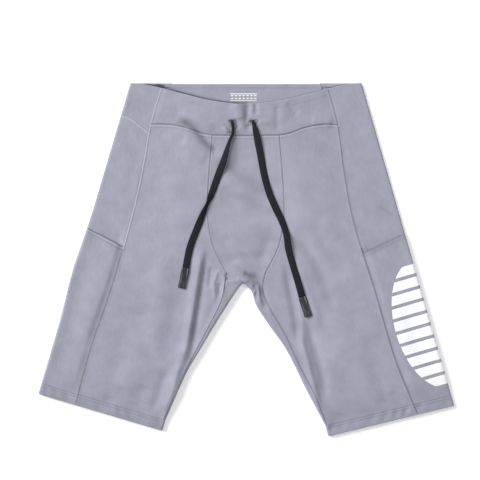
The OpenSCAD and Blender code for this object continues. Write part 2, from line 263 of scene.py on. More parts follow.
# Folds as drawn: (points, width left of the line, width right of it, height). A valley is negative.
DRAWN_FOLDS = [
    # right thigh: one deep fold from beside the pouch down to the hem
    ([(-63, 28), (-67, 8), (-76, -50), (-85, -105), (-93, -145), (-100, -174)], 5.0, 5.0, 2.9),
    ([(-92, -120), (-98, -150), (-106, -182), (-114, -212)], 6.0, 7.0, 0.9),
    ([(-58, 18), (-66, -30), (-74, -80), (-82, -128), (-87, -146)], 4.4, 3.2, -2.4),
    ([(-120, 40), (-128, -30), (-140, -110), (-150, -180)], 14, 12, 1.0),
    ([(-150, -60), (-147, -110), (-143, -168)], 9, 9, -0.8),
    ([(-150, -186), (-158, -200), (-166, -214)], 8, 8, -0.8),
    ([(-172, -150), (-182, -172), (-188, -196)], 10, 10, 0.6),
    ([(-165, -60), (-182, -120), (-196, -180)], 12, 12, -0.6),
    ([(-95, -40), (-112, -100), (-128, -165)], 8, 9, -0.5),
    # left thigh: soft folds that spread down from the pouch
    ([(66, 42), (92, 8), (112, -32), (132, -90)], 8, 7, -1.2),
    ([(60, 20), (80, -20), (98, -70), (110, -110)], 6, 7, 1.4),
    ([(95, 62), (125, 12), (150, -30)], 8, 8, -0.9),
    ([(112, 70), (142, 22), (168, -18)], 9, 8, 0.7),
    ([(58, 2), (64, -40), (74, -92), (80, -132)], 4.5, 4.0, -1.3),
    ([(72, -20), (78, -62), (84, -106)], 5, 5, 0.8),
    ([(78, -90), (83, -122), (91, -152), (102, -194), (111, -226)], 3.6, 3.6, 1.5),
    ([(88, -84), (100, -130), (113, -176), (120, -210)], 5.0, 4.0, -1.3),
    ([(70, 30), (110, -40), (150, -110), (176, -170)], 12, 12, 0.5),
    ([(100, 20), (140, -50), (170, -110)], 9, 9, -0.4),
    ([(180, -150), (200, -190), (214, -222)], 7, 8, -0.5),
    # pouch: two slanting folds and the fullness below them
    ([(-50, 150), (-22, 134), (12, 112), (44, 90)], 10, 9, -1.0),
    ([(-46, 128), (-14, 108), (20, 88), (50, 66)], 9, 9, 0.9),
    ([(-48, 100), (-20, 90), (18, 72), (52, 58)], 8, 8, -0.7),
    ([(0, 64), (-4, 30), (-2, 0)], 18, 18, 0.9),
    ([(-34, 40), (-24, 12), (-14, -8)], 7, 7, -0.6),
    ([(36, 36), (26, 10), (16, -8)], 7, 7, -0.7),
    # waistband ripples and puckers round the cord
    ([(-106, 208), (-84, 200), (-72, 189), (-61, 175), (-50, 164), (-38, 152)], 4.5, 5, -1.6),
    ([(-104, 220), (-82, 214), (-62, 203), (-46, 192)], 6, 6, 0.8),
    ([(-98, 180), (-78, 166), (-58, 148)], 7, 7, 0.7),
    ([(9, 236), (8, 222), (7, 209)], 1.6, 2.0, 2.0),
    ([(14, 236), (15, 226), (15, 216)], 1.8, 2.2, -1.5),
    ([(5, 214), (3, 206), (1, 199)], 1.8, 1.8, 1.0),
    ([(-21, 210), (-17, 204), (-13, 195)], 2.6, 3.0, -1.6),
    ([(-18, 234), (-12, 222), (-9, 208)], 6, 5, 0.7),
    ([(2, 238), (1, 220), (2, 204), (4, 190)], 5, 3, -1.4),
    ([(-33, 203), (-28, 199), (-23, 195)], 1.5, 1.5, -1.2),
    ([(-34, 198), (-30, 193), (-25, 189)], 2, 2, 0.7),
    ([(18, 208), (28, 205), (36, 204)], 2.4, 2.4, 0.5),
    ([(46, 234), (45, 212), (47, 188)], 4, 3, -0.6),
    ([(-20, 202), (-22, 194), (-24, 186)], 3, 3, -0.9),
    ([(60, 236), (70, 224), (78, 216)], 4, 4, -0.5),
    ([(96, 208), (112, 206), (130, 203)], 5, 5, 0.6),
    # sides
    ([(146, 248), (166, 252), (182, 250)], 3, 3, -0.7),
    ([(138, 222), (158, 226), (178, 236)], 4, 4, -0.6),
    ([(142, 168), (160, 150), (166, 128)], 6, 6, -0.6),
    ([(196, 84), (206, 74), (222, 66)], 3.4, 3.4, -1.0),
    ([(200, 100), (212, 92), (224, 86)], 5, 5, 0.7),
    ([(-160, 150), (-176, 118), (-182, 84)], 8, 8, 0.6),
    ([(-150, 206), (-166, 222), (-176, 240)], 6, 6, -0.5),
    # crotch: bunched cloth
    ([(2, -19), (14, -26), (22, -40), (26, -58), (34, -78)], 3.2, 4.0, -2.9),
    ([(10, -36), (15, -48), (14, -62)], 2.2, 2.4, -2.2),
    ([(6, -27), (17, -38), (19, -54), (24, -70)], 1.4, 1.5, 1.9),
    ([(5, -44), (8, -41), (12, -43), (13, -48), (9, -51), (6, -48)], 1.2, 1.2, 1.6),
    ([(-6, -20), (3, -25), (11, -33), (16, -44)], 2.6, 2.4, -2.3),
    ([(-16, -28), (-6, -30), (4, -34)], 2.0, 2.0, 1.0),
    ([(-42, -12), (-45, -26), (-48, -36), (-46, -62)], 1.6, 2.2, 1.8),
    ([(-43, -14), (-36, -21), (-28, -29)], 2, 2, 1.5),
    ([(-52, -8), (-54, -24), (-56, -44)], 2.4, 2.4, -1.0),
    ([(-40, -34), (-40, -44), (-38, -54)], 2.0, 2.0, -1.1),
    ([(-33, -32), (-34, -42), (-35, -54)], 1.2, 1.2, 0.9),
    ([(-31, -20), (-29, -26), (-26, -32)], 2.5, 2.5, -1.0),
    ([(-22, -30), (-12, -33), (-4, -36)], 2.0, 2.0, 0.7),
    # hems
    ([(-166, -250), (-164, -232), (-160, -208)], 9, 7, -0.55),
    ([(136, -262), (139, -246), (142, -226)], 8, 6, -0.55),
    ([(-98, -150), (-105, -176), (-113, -202), (-127, -234)], 4, 4, 1.2),
    ([(-118, -160), (-124, -182), (-132, -206), (-142, -230)], 5, 5, -0.8),
    ([(214, -196), (232, -214), (243, -232)], 3, 3, -0.5),
    ([(-214, -236), (-210, -218), (-206, -200)], 6, 6, -0.5),
]
# Every fold is made this much higher, but no higher than its narrower side is wide.
GAIN = 2.4
FOLDS = [(spline(p, 8), a, b, math.copysign(min(abs(h) * GAIN, min(a, b)), h))
         for p, a, b, h in DRAWN_FOLDS]
# Folds of the pockets' own cloth.
POCKET_FOLDS = [(spline(p, 8), a, b, h) for p, a, b, h in [
    ([(-196, 16), (-202, -14), (-221, -60), (-249, -120), (-262, -150)], 5, 12, 0.9),
    ([(-262, -150), (-268, -176), (-280, -200)], 9, 9, 0.7),
    ([(214, 18), (236, -30), (250, -70)], 9, 9, 0.7),
    ([(232, -60), (250, -110), (262, -160)], 9, 9, -0.5)]]

BAND_LINE = join(band_seam(-1), band_centre(-1)[1:], band_centre(1)[::-1][1:], band_seam(1)[::-1][1:])
BAND_LINE = along(BAND_LINE, np.linspace(0, 1, 60))
V_IN = np.linspace(0, 50, 30)
V_SEAM = leg(-1, v_seam_down(V_IN), V_IN)
SIDE_LINES = {s: side_seam(s, SEAM_TOP, OUTSEAM[s] - 4, 0, 80) for s in SIDES}
POUCH_LINES = {s: along(pouch_seam(s), np.linspace(0, 1, 40)) for s in SIDES}
GUSSET_LINES = {s: along(gusset_seam(s), np.linspace(0, 1, 40)) for s in SIDES}
# The right side seam is a ridge above the pocket, with a painted highlight along it, and a groove beside it.
SIDE_TOP, SIDE_LOW = SIDE_LINES[-1][:42], SIDE_LINES[-1][40:]
# Each seam: its line, the depth of its groove, and how much it is raised beside the groove.
SEAMS = [
    (SIDE_TOP, -0.30, 0.0), (SIDE_LOW, 0.5, 0.2), (V_SEAM, -0.25, 0.0), (SIDE_LINES[1], 0.45, 0.22),
    (POUCH_LINES[-1], 0.5, 0.18), (POUCH_LINES[1], 0.5, 0.15),
    (GUSSET_LINES[-1], 0.5, 0.25), (GUSSET_LINES[1], 0.6, 0.15), (BAND_LINE, 0.5, 0.1)]


def edge_of_legs():
    """The inner edges of both legs as one line, from hem to hem, rounded off at the crotch."""
    line = along(join(inner_edge(-1)[::-1], inner_edge(1)[1:]), np.linspace(0, 1, 331))
    for _ in range(4):
        line[1:-1] = (line[:-2] + line[1:-1] + line[2:]) / 3
    return line


EDGE_LINE = edge_of_legs()
# The same line, carried on below the hems.
EDGE_REACH = join(hem_place(-1, -6, HEM_W), EDGE_LINE, hem_place(1, -6, HEM_W))

# How far in the cloth rounds down to the side folds and to the inner edges.
ROUND, ROUND_IN = 3.6, 3.2
# Shares of that roll, evenly spaced round its quarter circle.
TURN = 1 - np.cos(np.linspace(0, math.pi / 2, 9))
# Heights where front and back meet: at the side folds and at the inner edges.
FOLD_Z, EDGE_Z = 3.9, 4.2
# Heights of the front: along the side seams above the pockets, over the pads, inside, and at the hems.
SIDE_Z, OVER_PAD_Z, FRONT_Z, HEM_Z = 7.8, 12.6, 13.0, 9.4
# Cloth that rests on the surface below keeps this far above it.
REST = 0.02


def fold_height(x, y, folds):
    """The height that folds add. Each fades out towards its ends."""
    total = np.zeros(x.shape)
    for line, a, b, h in folds:
        reach = 3 * max(a, b)
        lo, hi = line.min(0) - reach, line.max(0) + reach
        near = (x > lo[0]) & (x < hi[0]) & (y > lo[1]) & (y < hi[1])
        if near.any():
            d, side, t = to_line(x[near], y[near], line)
            fade = smooth(t / 0.22) * smooth((1 - t) / 0.22)
            total[near] += h * fade * np.exp(-0.5 * (d / np.where(side > 0, a, b)) ** 2)
    return total


def inner_distance(x, y, from_edge=None):
    """How far in from the legs' inner edges. The rounding fades away above the crotch.
    from_edge, where it's given, is the most that the distance can be."""
    d = to_line(x, y, EDGE_REACH, 60)[0]
    if from_edge is not None:
        d = np.minimum(d, from_edge)
    return d + 8 * smooth((y + 30) / 60)


def on_side(s, x):
    return (np.sign(x) == s) | ((x == 0) & (s > 0))


def drawn_cloth(s, inn, up):
    """The fine slanting puckers that the hem's stitching draws in the cloth."""
    slanted = inn + 0.5 * up
    return (0.42 * np.sin(slanted / 3.1 + 1.5 * np.sin(slanted / 17 + s))
            + 0.30 * np.sin(slanted / 5.3 + 2.1 * np.sin(slanted / 29)))


def front_height(x, y, seams=True, from_edge=None):
    """Height of the outer face of the front."""
    x, y = np.asarray(x, float), np.asarray(y, float)
    z = np.zeros(x.shape)
    flat = np.ones(x.shape)
    for s in SIDES:
        down, inn = leg_place(s, x, y)
        up = hem_down(s, 0, inn) - down
        low = SIDE_Z + (OVER_PAD_Z - SIDE_Z) * smooth((down - MOUTH_DOWN[s] + 42) / 84)
        body = low + (FRONT_Z - low) * smooth((inn - side_in(s, down)) / 88)
        body = body - np.maximum(body - HEM_Z, 0) * (1 - smooth((up - 4) / 46))
        z = np.where(on_side(s, x), FOLD_Z + (body - FOLD_Z) * rounded(inn / ROUND), z)
        flat = np.where(on_side(s, x), smooth((inn - 3) / 8) * smooth((up + 2) / 10), flat)
    inner = inner_distance(x, y, from_edge)
    z = EDGE_Z + (z - EDGE_Z) * rounded(inner / ROUND_IN)
    flat = flat * smooth((inner + 1) / 5)
    folds = fold_height(x, y, FOLDS)
    folds += 0.34 * wavy(x, y, 75, 3) + 0.20 * wavy(x, y, 34, 5) + 0.05 * wavy(x, y, 12, 8)
    for s in SIDES:
        down, inn = leg_place(s, x, y)
        up = hem_down(s, 0, inn) - down
        folds += np.exp(-((up - 9) / 9.0) ** 2) * (np.sign(x) == s) * drawn_cloth(s, inn, up)
    z = z + folds * flat
    if seams:
        for line, groove, beside in SEAMS:
            d = to_line(x, y, line, 9)[0]
            z = z - groove * np.exp(-(d / 0.9) ** 2) + beside * np.exp(-((d - 2.4) / 1.3) ** 2)
    return z


def back_height(x, y, from_edge=None):
    """Height of the outer face of the back, which rests on the surface below."""
    x, y = np.asarray(x, float), np.asarray(y, float)
    z = np.zeros(x.shape)
    for s in SIDES:
        z = np.where(on_side(s, x), FOLD_Z - FOLD_Z * rounded(leg_place(s, x, y)[1] / ROUND), z)
    near = rounded(inner_distance(x, y, from_edge) / ROUND_IN)
    return np.maximum(z, EDGE_Z - EDGE_Z * near) + REST


# ---------------------------------------------------------------- building cloth


def spread(n, dense=0.6):
    """n fractions from 0 to 1, closer together at both ends."""
    t = np.linspace(0, 1, n)
    return t - dense * np.sin(2 * math.pi * t) / (2 * math.pi)


def patch(top, bottom, left, right, nu, nv, dense=0.6):
    """A grid of places filled in between four lines that meet at their corners."""
    tu, tv = spread(nu, dense), spread(nv, 0.3)
    T, B, L, R = along(top, tu), along(bottom, tu), along(left, tv), along(right, tv)
    u, v = tu[None, :, None], tv[:, None, None]
    return ((1 - v) * T[None] + v * B[None] + (1 - u) * L[:, None] + u * R[:, None]
            - ((1 - u) * (1 - v) * T[0] + u * (1 - v) * T[-1] + (1 - u) * v * B[0] + u * v * B[-1]))


def normals(P):
    n = np.cross(np.gradient(P, axis=1), np.gradient(P, axis=0))
    return n / np.maximum(np.linalg.norm(n, axis=-1, keepdims=True), 1e-9)


def mesh_object(name, verts, faces, uv=None, sharp=50):
    mesh = bpy.data.meshes.new(name)
    mesh.from_pydata((np.asarray(verts) * MM).tolist(), [], [list(map(int, f)) for f in faces])
    if uv is not None:
        layer = mesh.uv_layers.new(name="cloth")
        loops = np.zeros(len(mesh.loops), int)
        mesh.loops.foreach_get("vertex_index", loops)
        layer.data.foreach_set("uv", np.asarray(uv)[loops].astype(np.float32).ravel())
    mesh.validate()
    mesh.polygons.foreach_set("use_smooth", [True] * len(mesh.polygons))
    mesh.set_sharp_from_angle(angle=math.radians(sharp))
    obj = bpy.data.objects.new(name, mesh)
    bpy.context.collection.objects.link(obj)
    return obj


def shell(name, P, thick, up=1, ring=False):
    """A closed piece of cloth: P is the outer face as a grid, and the inner face is thick inside it.
    up says which way the outer face looks in the first columns of the grid's lower half.
    ring closes the rows."""
    rows, cols = P.shape[:2]
    if ring:
        wide = np.concatenate([P[:, -1:], P, P[:, :1]], axis=1)
        n = normals(wide)[:, 1:-1]
    else:
        n = normals(P)
    sign = -1.0 if np.mean(n[rows // 2:, :max(2, cols // 8), 2]) * up < 0 else 1.0
    n = n * sign
    inner = P - n * np.broadcast_to(thick, P.shape[:2])[..., None]
    verts = np.vstack([P.reshape(-1, 3), inner.reshape(-1, 3)])
    k = rows * cols
    r, c = np.meshgrid(np.arange(rows - 1), np.arange(cols if ring else cols - 1), indexing="ij")
    c2 = (c + 1) % cols
    a, b = (r * cols + c).ravel(), (r * cols + c2).ravel()
    d, e = ((r + 1) * cols + c).ravel(), ((r + 1) * cols + c2).ravel()
    outer = np.stack([a, b, e, d] if sign > 0 else [a, d, e, b], -1)
    faces = [outer, outer[:, ::-1] + k]

    def wall(i, j):
        faces.append(np.stack([i, j, j + k, i + k], -1))

    c = np.arange(cols if ring else cols - 1)
    wall(c, (c + 1) % cols)
    wall((rows - 1) * cols + (c + 1) % cols, (rows - 1) * cols + c)
    if not ring:
        r = np.arange(rows - 1)
        wall((r + 1) * cols, r * cols)
        wall(r * cols + cols - 1, (r + 1) * cols + cols - 1)
    faces = np.vstack(faces)
    if sign > 0:
        faces[2 * len(outer):] = faces[2 * len(outer):, ::-1]
    uu = np.concatenate([np.zeros((rows, 1)), np.cumsum(run_of(P, 1), axis=1)], axis=1)
    vv = np.concatenate([np.zeros((1, cols)), np.cumsum(run_of(P, 0), axis=0)], axis=0)
    uv = np.stack([uu, vv], -1).reshape(-1, 2) * MM
    return mesh_object(name, verts, faces, np.vstack([uv, uv]))


def run_of(P, axis):
    """How long the grid's lines are along an axis, from point to point."""
    return np.linalg.norm(np.diff(P, axis=axis), axis=-1)


def raised(xy, z):
    """Places with their heights."""
    return np.concatenate([xy, np.broadcast_to(z, xy.shape[:-1])[..., None]], -1)


def on_front(xy, seams=True):
    return raised(xy, front_height(xy[..., 0], xy[..., 1], seams))


def on_back(xy):
    return raised(xy, back_height(xy[..., 0], xy[..., 1]))


def place(obj, where, material, nodes=()):
    """Gives a piece its material and its body, and hides the CAD nodes that it stands for.
    where is a body's name, or "fold" for a piece that crosses the centre."""
    obj.data.materials.clear()
    obj.data.materials.append(material)
    if where == "fold":
        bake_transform(obj)
    else:
        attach(obj, where)
    if nodes:
        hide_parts(*nodes)


def add_piece(obj, where, material, nodes):
    place(obj, where, material, nodes)


def add_cloth(name, P, thick, where, material, nodes, up=1, ring=False, shade_and_highlights=(), inside=()):
    """Makes a sheet of cloth from its outer face. Without shade_and_highlights it has no painted shade or
    highlights.
    """
    obj = shell(name, P, thick, up, ring)
    add_piece(obj, where, material, nodes)
    if len(shade_and_highlights):
        paint_shade_and_highlights(obj, shade_and_highlights, inside)


# ---------------------------------------------------------------- materials


def new_material(name):
    mat = bpy.data.materials.new(name)
    mat.use_nodes = True
    nodes = mat.node_tree.nodes
    nodes.clear()
    out = nodes.new("ShaderNodeOutputMaterial")
    bsdf = nodes.new("ShaderNodeBsdfPrincipled")
    mat.node_tree.links.new(bsdf.outputs[0], out.inputs[0])
    return mat, mat.node_tree, bsdf


def node(tree, kind, inputs=None, **settings):
    n = tree.nodes.new(kind)
    for key, value in settings.items():
        setattr(n, key, value)
    for key, value in (inputs or {}).items():
        if isinstance(value, bpy.types.NodeSocket):
            tree.links.new(value, n.inputs[key])
        else:
            n.inputs[key].default_value = value
    return n


def ramp(tree, value, stops):
    n = node(tree, "ShaderNodeValToRGB", {0: value})
    while len(n.color_ramp.elements) < len(stops):
        n.color_ramp.elements.new(0.5)
    for element, (place_on, color) in zip(n.color_ramp.elements, stops):
        element.position = place_on
        element.color = (*color, 1)
    return n.outputs[0]


def shade(color, by):
    return tuple(c * by for c in color)


def surface(name, kind="UV"):
    """A new material, and the coordinates that its textures lie in."""
    mat, tree, bsdf = new_material(name)
    return mat, tree, bsdf, node(tree, "ShaderNodeTexCoord").outputs[kind]


# A wave texture of scale 1 has its bands this far apart.
WAVE_PITCH = 0.314


def waves(tree, vector, pitch, direction="X", inputs=None):
    return node(tree, "ShaderNodeTexWave", {"Vector": vector, "Scale": WAVE_PITCH / pitch, **(inputs or {})},
                wave_type="BANDS", bands_direction=direction).outputs["Fac"]


def noise(tree, vector, scale, detail=2.0):
    return node(tree, "ShaderNodeTexNoise",
                {"Vector": vector, "Scale": scale, "Detail": detail}).outputs["Fac"]


def drawn_out(tree, vector, share):
    """Coordinates whose texture is drawn out into streaks."""
    return node(tree, "ShaderNodeMapping", {"Vector": vector, "Scale": (1.0, share, 1.0)}).outputs[0]


def maths(tree, operation, a, b, **settings):
    return node(tree, "ShaderNodeMath", {0: a, 1: b}, operation=operation, **settings).outputs[0]


def tint(tree, share, tone, color):
    return node(tree, "ShaderNodeMix", {0: share, 6: tone, 7: (*color, 1)}, data_type="RGBA").outputs[2]


def bumped(tree, height, distance, inputs=None):
    return node(tree, "ShaderNodeBump", {"Strength": 1.0, "Distance": distance, "Height": height,
                                         **(inputs or {})}).outputs[0]


def gloss(tree, value, low, high):
    return node(tree, "ShaderNodeMapRange", {0: value, 3: low, 4: high}).outputs[0]


def finish(tree, bsdf, values):
    """Links or sets the shader's own sockets."""
    for key, value in values.items():
        if isinstance(value, bpy.types.NodeSocket):
            tree.links.new(value, bsdf.inputs[key])
        else:
            bsdf.inputs[key].default_value = value


def knit(name, color, wale=0.0008, bump=0.00007, rough=0.62, mottle=0.06, ribs=0.0):
    """A fine knit: columns of stitches, courses across them, and yarn that varies a little."""
    mat, tree, bsdf, uv = surface(name)
    detail = {"Detail": 1.0, "Detail Scale": 2.0}
    wales = waves(tree, uv, wale, "X", {"Distortion": 0.8, **detail})
    courses = waves(tree, uv, wale / 0.8, "Y", {"Distortion": 1.2, **detail})
    yarn, cloud = noise(tree, uv, 1400.0, 3.0), noise(tree, uv, 38.0, 4.0)
    heather = noise(tree, drawn_out(tree, uv, 0.22), 420.0)
    grain = node(tree, "ShaderNodeMix", {0: 0.5, 2: yarn, 3: heather}).outputs[0]
    mixed = maths(tree, "MULTIPLY", maths(tree, "ADD", grain, cloud), 0.5)
    tone = ramp(tree, mixed, [(0.38, shade(color, 1 - 1.8 * mottle)), (0.62, shade(color, 1 + 1.4 * mottle))])
    # The seam attribute is painted shade and painted highlight: it darkens the cloth above 0 and lightens it
    # below 0.
    seam = node(tree, "ShaderNodeAttribute", attribute_name="seam").outputs["Fac"]
    tone = tint(tree, seam, tone, shade(color, 0.12))
    painted_highlight = maths(tree, "MULTIPLY", seam, -1.0, use_clamp=True)
    tone = tint(tree, painted_highlight, tone, [min(1, 2.2 * c) for c in color])
    stitches = maths(tree, "ADD", maths(tree, "MULTIPLY", wales, courses), yarn)
    normal = bumped(tree, stitches, bump)
    if ribs:
        normal = bumped(tree, waves(tree, uv, ribs, "Y"), 0.0004, {"Normal": normal})
    finish(tree, bsdf, {
        "Base Color": tone, "Roughness": gloss(tree, cloud, rough - 0.05, rough + 0.06),
        "Specular IOR Level": 0.35, "Sheen Weight": 0.25, "Sheen Roughness": 0.45, "Normal": normal})
    return mat


def braid(name, color, twill=0.0011):
    """Flat woven cord: two sets of yarns that cross at a slant."""
    mat, tree, bsdf, uv = surface(name)
    slants = [node(tree, "ShaderNodeMapping", {"Vector": uv, "Rotation": (0, 0, turn)}).outputs[0]
              for turn in (0.7, -0.7)]
    weave = maths(tree, "MAXIMUM", *[waves(tree, slant, twill) for slant in slants])
    yarns = node(tree, "ShaderNodeMix", {0: 0.55, 2: noise(tree, uv, 2500.0, 3.0),
                                         3: noise(tree, uv, 620.0)}).outputs[0]
    tone = ramp(tree, maths(tree, "MULTIPLY", weave, yarns),
                [(0.15, shade(color, 0.35)), (0.42, color), (0.68, shade(color, 3.4))])
    finish(tree, bsdf, {"Base Color": tone, "Roughness": 0.72, "Specular IOR Level": 0.22,
                        "Sheen Weight": 0.03, "Normal": bumped(tree, weave, 0.0002)})
    return mat


def speckled(name, color, rough, bump, grain, spread_by=0.15):
    """Foam or thread: fine grain in colour and surface."""
    mat, tree, bsdf, where = surface(name, "Object")
    fine = noise(tree, where, grain, 4.0)
    tone = ramp(tree, fine, [(0.35, shade(color, 1 - spread_by)), (0.65, shade(color, 1 + spread_by / 2))])
    finish(tree, bsdf, {"Base Color": tone, "Roughness": gloss(tree, fine, rough - 0.05, rough + 0.05),
                        "Normal": bumped(tree, fine, bump)})
    return mat


def printed(name, color, base):
    """Ink on knit: the wales show through and the ink has cracked a little."""
    mat, tree, bsdf, uv = surface(name)
    cracks = node(tree, "ShaderNodeTexVoronoi", {"Vector": uv, "Scale": 900.0},
                  feature="DISTANCE_TO_EDGE").outputs["Distance"]
    finish(tree, bsdf, {"Base Color": ramp(tree, cracks, [(0.0, base), (0.05, color)]), "Roughness": 0.42,
                        "Normal": bumped(tree, waves(tree, uv, 0.0008), 0.00004)})
    return mat


def clear_sleeve(name):
    """Scuffed clear plastic, with the cord's yarns showing through it as streaks."""
    mat, tree, bsdf, uv = surface(name)
    scuffs = noise(tree, uv, 700.0, 3.0)
    tone = ramp(tree, noise(tree, drawn_out(tree, uv, 0.09), 420.0),
                [(0.38, (0.006, 0.006, 0.008)), (0.52, (0.030, 0.031, 0.036)), (0.64, (0.16, 0.16, 0.175))])
    finish(tree, bsdf, {"Base Color": tone, "Roughness": gloss(tree, scuffs, 0.24, 0.40),
                        "Specular IOR Level": 0.25, "Coat Weight": 0.08, "Coat Roughness": 0.12,
                        "Normal": bumped(tree, scuffs, 0.00008)})
    return mat


GREY = (0.300, 0.300, 0.372)
knit_cloth = knit("knit", GREY)
band_cloth = knit("band_knit", shade(GREY, 0.975), wale=0.0007, rough=0.6)
lining_cloth = knit("lining", shade(GREY, 0.99), wale=0.0010, bump=0.0001, rough=0.72, mottle=0.05)
thread = speckled("thread", (0.24, 0.24, 0.30), 0.55, 0.00003, 3000)
cord_braid = braid("cord", (0.0090, 0.0094, 0.0140))
sleeve_clear = clear_sleeve("cord_tip")
foam = speckled("foam", (0.055, 0.060, 0.068), 0.85, 0.00015, 1500, 0.35)
elastic = knit("elastic", (0.72, 0.72, 0.72), wale=0.0012, bump=0.0001, rough=0.75, ribs=0.003)
ink = printed("print", (0.93, 0.93, 0.94), shade(GREY, 1.6))
label_white = printed("label", (0.86, 0.86, 0.87), (0.8, 0.8, 0.8))

# ---------------------------------------------------------------- drawcord

# The cord's route points, as in the CAD source, in metres.
CORD_ROUTE = {
    -1: [(-0.021, 0.207, 0.0158), (-0.020, 0.191, 0.0156), (-0.026, 0.174, 0.0146),
         (-0.034, 0.147, 0.0144), (-0.043, 0.123, 0.0144), (-0.053, 0.095, 0.0144),
         (-0.063, 0.072, 0.0144), (-0.074, 0.045, 0.0144), (-0.084, 0.018, 0.0144),
         (-0.090, -0.012, 0.0144)],
    1: [(0.010, 0.207, 0.0158), (0.015, 0.187, 0.0156), (0.021, 0.158, 0.0146),
        (0.026, 0.130, 0.0144), (0.033, 0.103, 0.0144), (0.043, 0.079, 0.0144),
        (0.053, 0.058, 0.0144), (0.060, 0.037, 0.0144), (0.063, 0.016, 0.0144),
        (0.070, -0.010, 0.0144), (0.078, -0.037, 0.0144), (0.083, -0.055, 0.0144)],
}
TIP_END = {-1: (-0.097, -0.046, 0.0144), 1: (0.093, -0.085, 0.0144)}
CORD_W, CORD_T, TIP_L = 11, 1.8, 31
# How the flat cord turns on itself: (fraction of its length, angle in degrees, share of its width).
TURNS = {
    -1: [(0, 20, 0.34), (0.05, 50, 0.40), (0.12, 62, 0.46), (0.20, 25, 0.72), (0.30, 6, 0.95),
         (0.42, 4, 0.95), (0.52, -20, 0.85), (0.565, -62, 0.55), (0.61, -30, 0.8), (0.70, -4, 0.95),
         (1, 0, 0.95)],
    1: [(0, 8, 0.36), (0.05, 12, 0.78), (0.10, 8, 0.95), (0.2, 3, 0.94), (0.35, -4, 0.9), (0.5, 3, 0.96),
        (0.62, -8, 0.88), (0.72, 5, 0.95), (0.85, -3, 0.9), (1, 0, 0.95)],
}
HOLES = {s: np.array(CORD_ROUTE[s][0][:2]) / MM for s in SIDES}


def oval(half_w, half_h, full_w, full_h, angles):
    """Points on an oval round the origin, squarer the less full_w and full_h are."""
    c, s = np.cos(angles), np.sin(angles)
    return np.stack([half_w * np.sign(c) * np.abs(c) ** full_w,
                     half_h * np.sign(s) * np.abs(s) ** full_h], -1)


def tube_faces(rings, n, closed=False):
    """Faces between rings of n points each, in order. closed joins the last ring to the first."""
    return [(i * n + k, i * n + (k + 1) % n, j * n + (k + 1) % n, j * n + k)
            for i, j in zip(range(rings), [*range(1, rings), 0][:None if closed else -1]) for k in range(n)]


def sweep(name, path, widths, thicks, angles, cap=0.5, n=20):
    """A closed flat tube of n sides along a path that lies more or less level."""
    path = np.asarray(path, float)
    way = np.gradient(path, axis=0)
    way /= np.linalg.norm(way, axis=1)[:, None]
    across = np.stack([-way[:, 1], way[:, 0], np.zeros(len(path))], -1)
    across /= np.linalg.norm(across, axis=1)[:, None]
    above = np.cross(way, across)
    rings = []
    for i, a in enumerate(np.radians(angles)):
        q = oval(widths[i] / 2, thicks[i] / 2, 0.75, 0.55, np.linspace(0, 2 * math.pi, n, endpoint=False))
        q = q @ np.array([[math.cos(a), math.sin(a)], [-math.sin(a), math.cos(a)]])
        rings.append(path[i] + across[i] * q[:, :1] + above[i] * q[:, 1:])
    # Each end narrows to a smaller ring just beyond it.
    ends = [rings[k].mean(0) + (rings[k] - rings[k].mean(0)) * 0.72 + sign * way[k] * cap
            for k, sign in ((0, -1), (-1, 1))]
    rings = [ends[0], *rings, ends[1]]
    run = lengths(path)
    rows = np.concatenate([[run[0] - cap], run, [run[-1] + cap]])
    m = len(rings)
    faces = tube_faces(m, n)
    faces.append(tuple(range(n - 1, -1, -1)))
    faces.append(tuple((m - 1) * n + k for k in range(n)))
    girth = np.linspace(0, 2 * np.mean(widths), n, endpoint=False)
    uv = np.stack([np.tile(girth, m), np.repeat(rows, n)], -1) * MM
    return mesh_object(name, np.vstack(rings), faces, uv, sharp=70)


def steadied(values, width):
    """Values evened out over width neighbours."""
    return np.convolve(np.pad(values, width // 2, "edge"), np.ones(width) / width, "valid")


def turned(table, t, column):
    table = np.array(table, float)
    return steadied(np.interp(t, table[:, 0], table[:, column]), 9)


CORD_PATHS = {s: along(spline(np.array(CORD_ROUTE[s]) / MM, 8), np.linspace(0, 1, 150)) for s in SIDES}
# How far a cord end is pulled out, and the point of its path up to which it gives way.
CORD_PULL, GIVES_TO = 35, 110
PULLS = np.linspace(0, CORD_PULL, 8)
# The least height of a sleeve's middle.
TIP_Z = 14.4


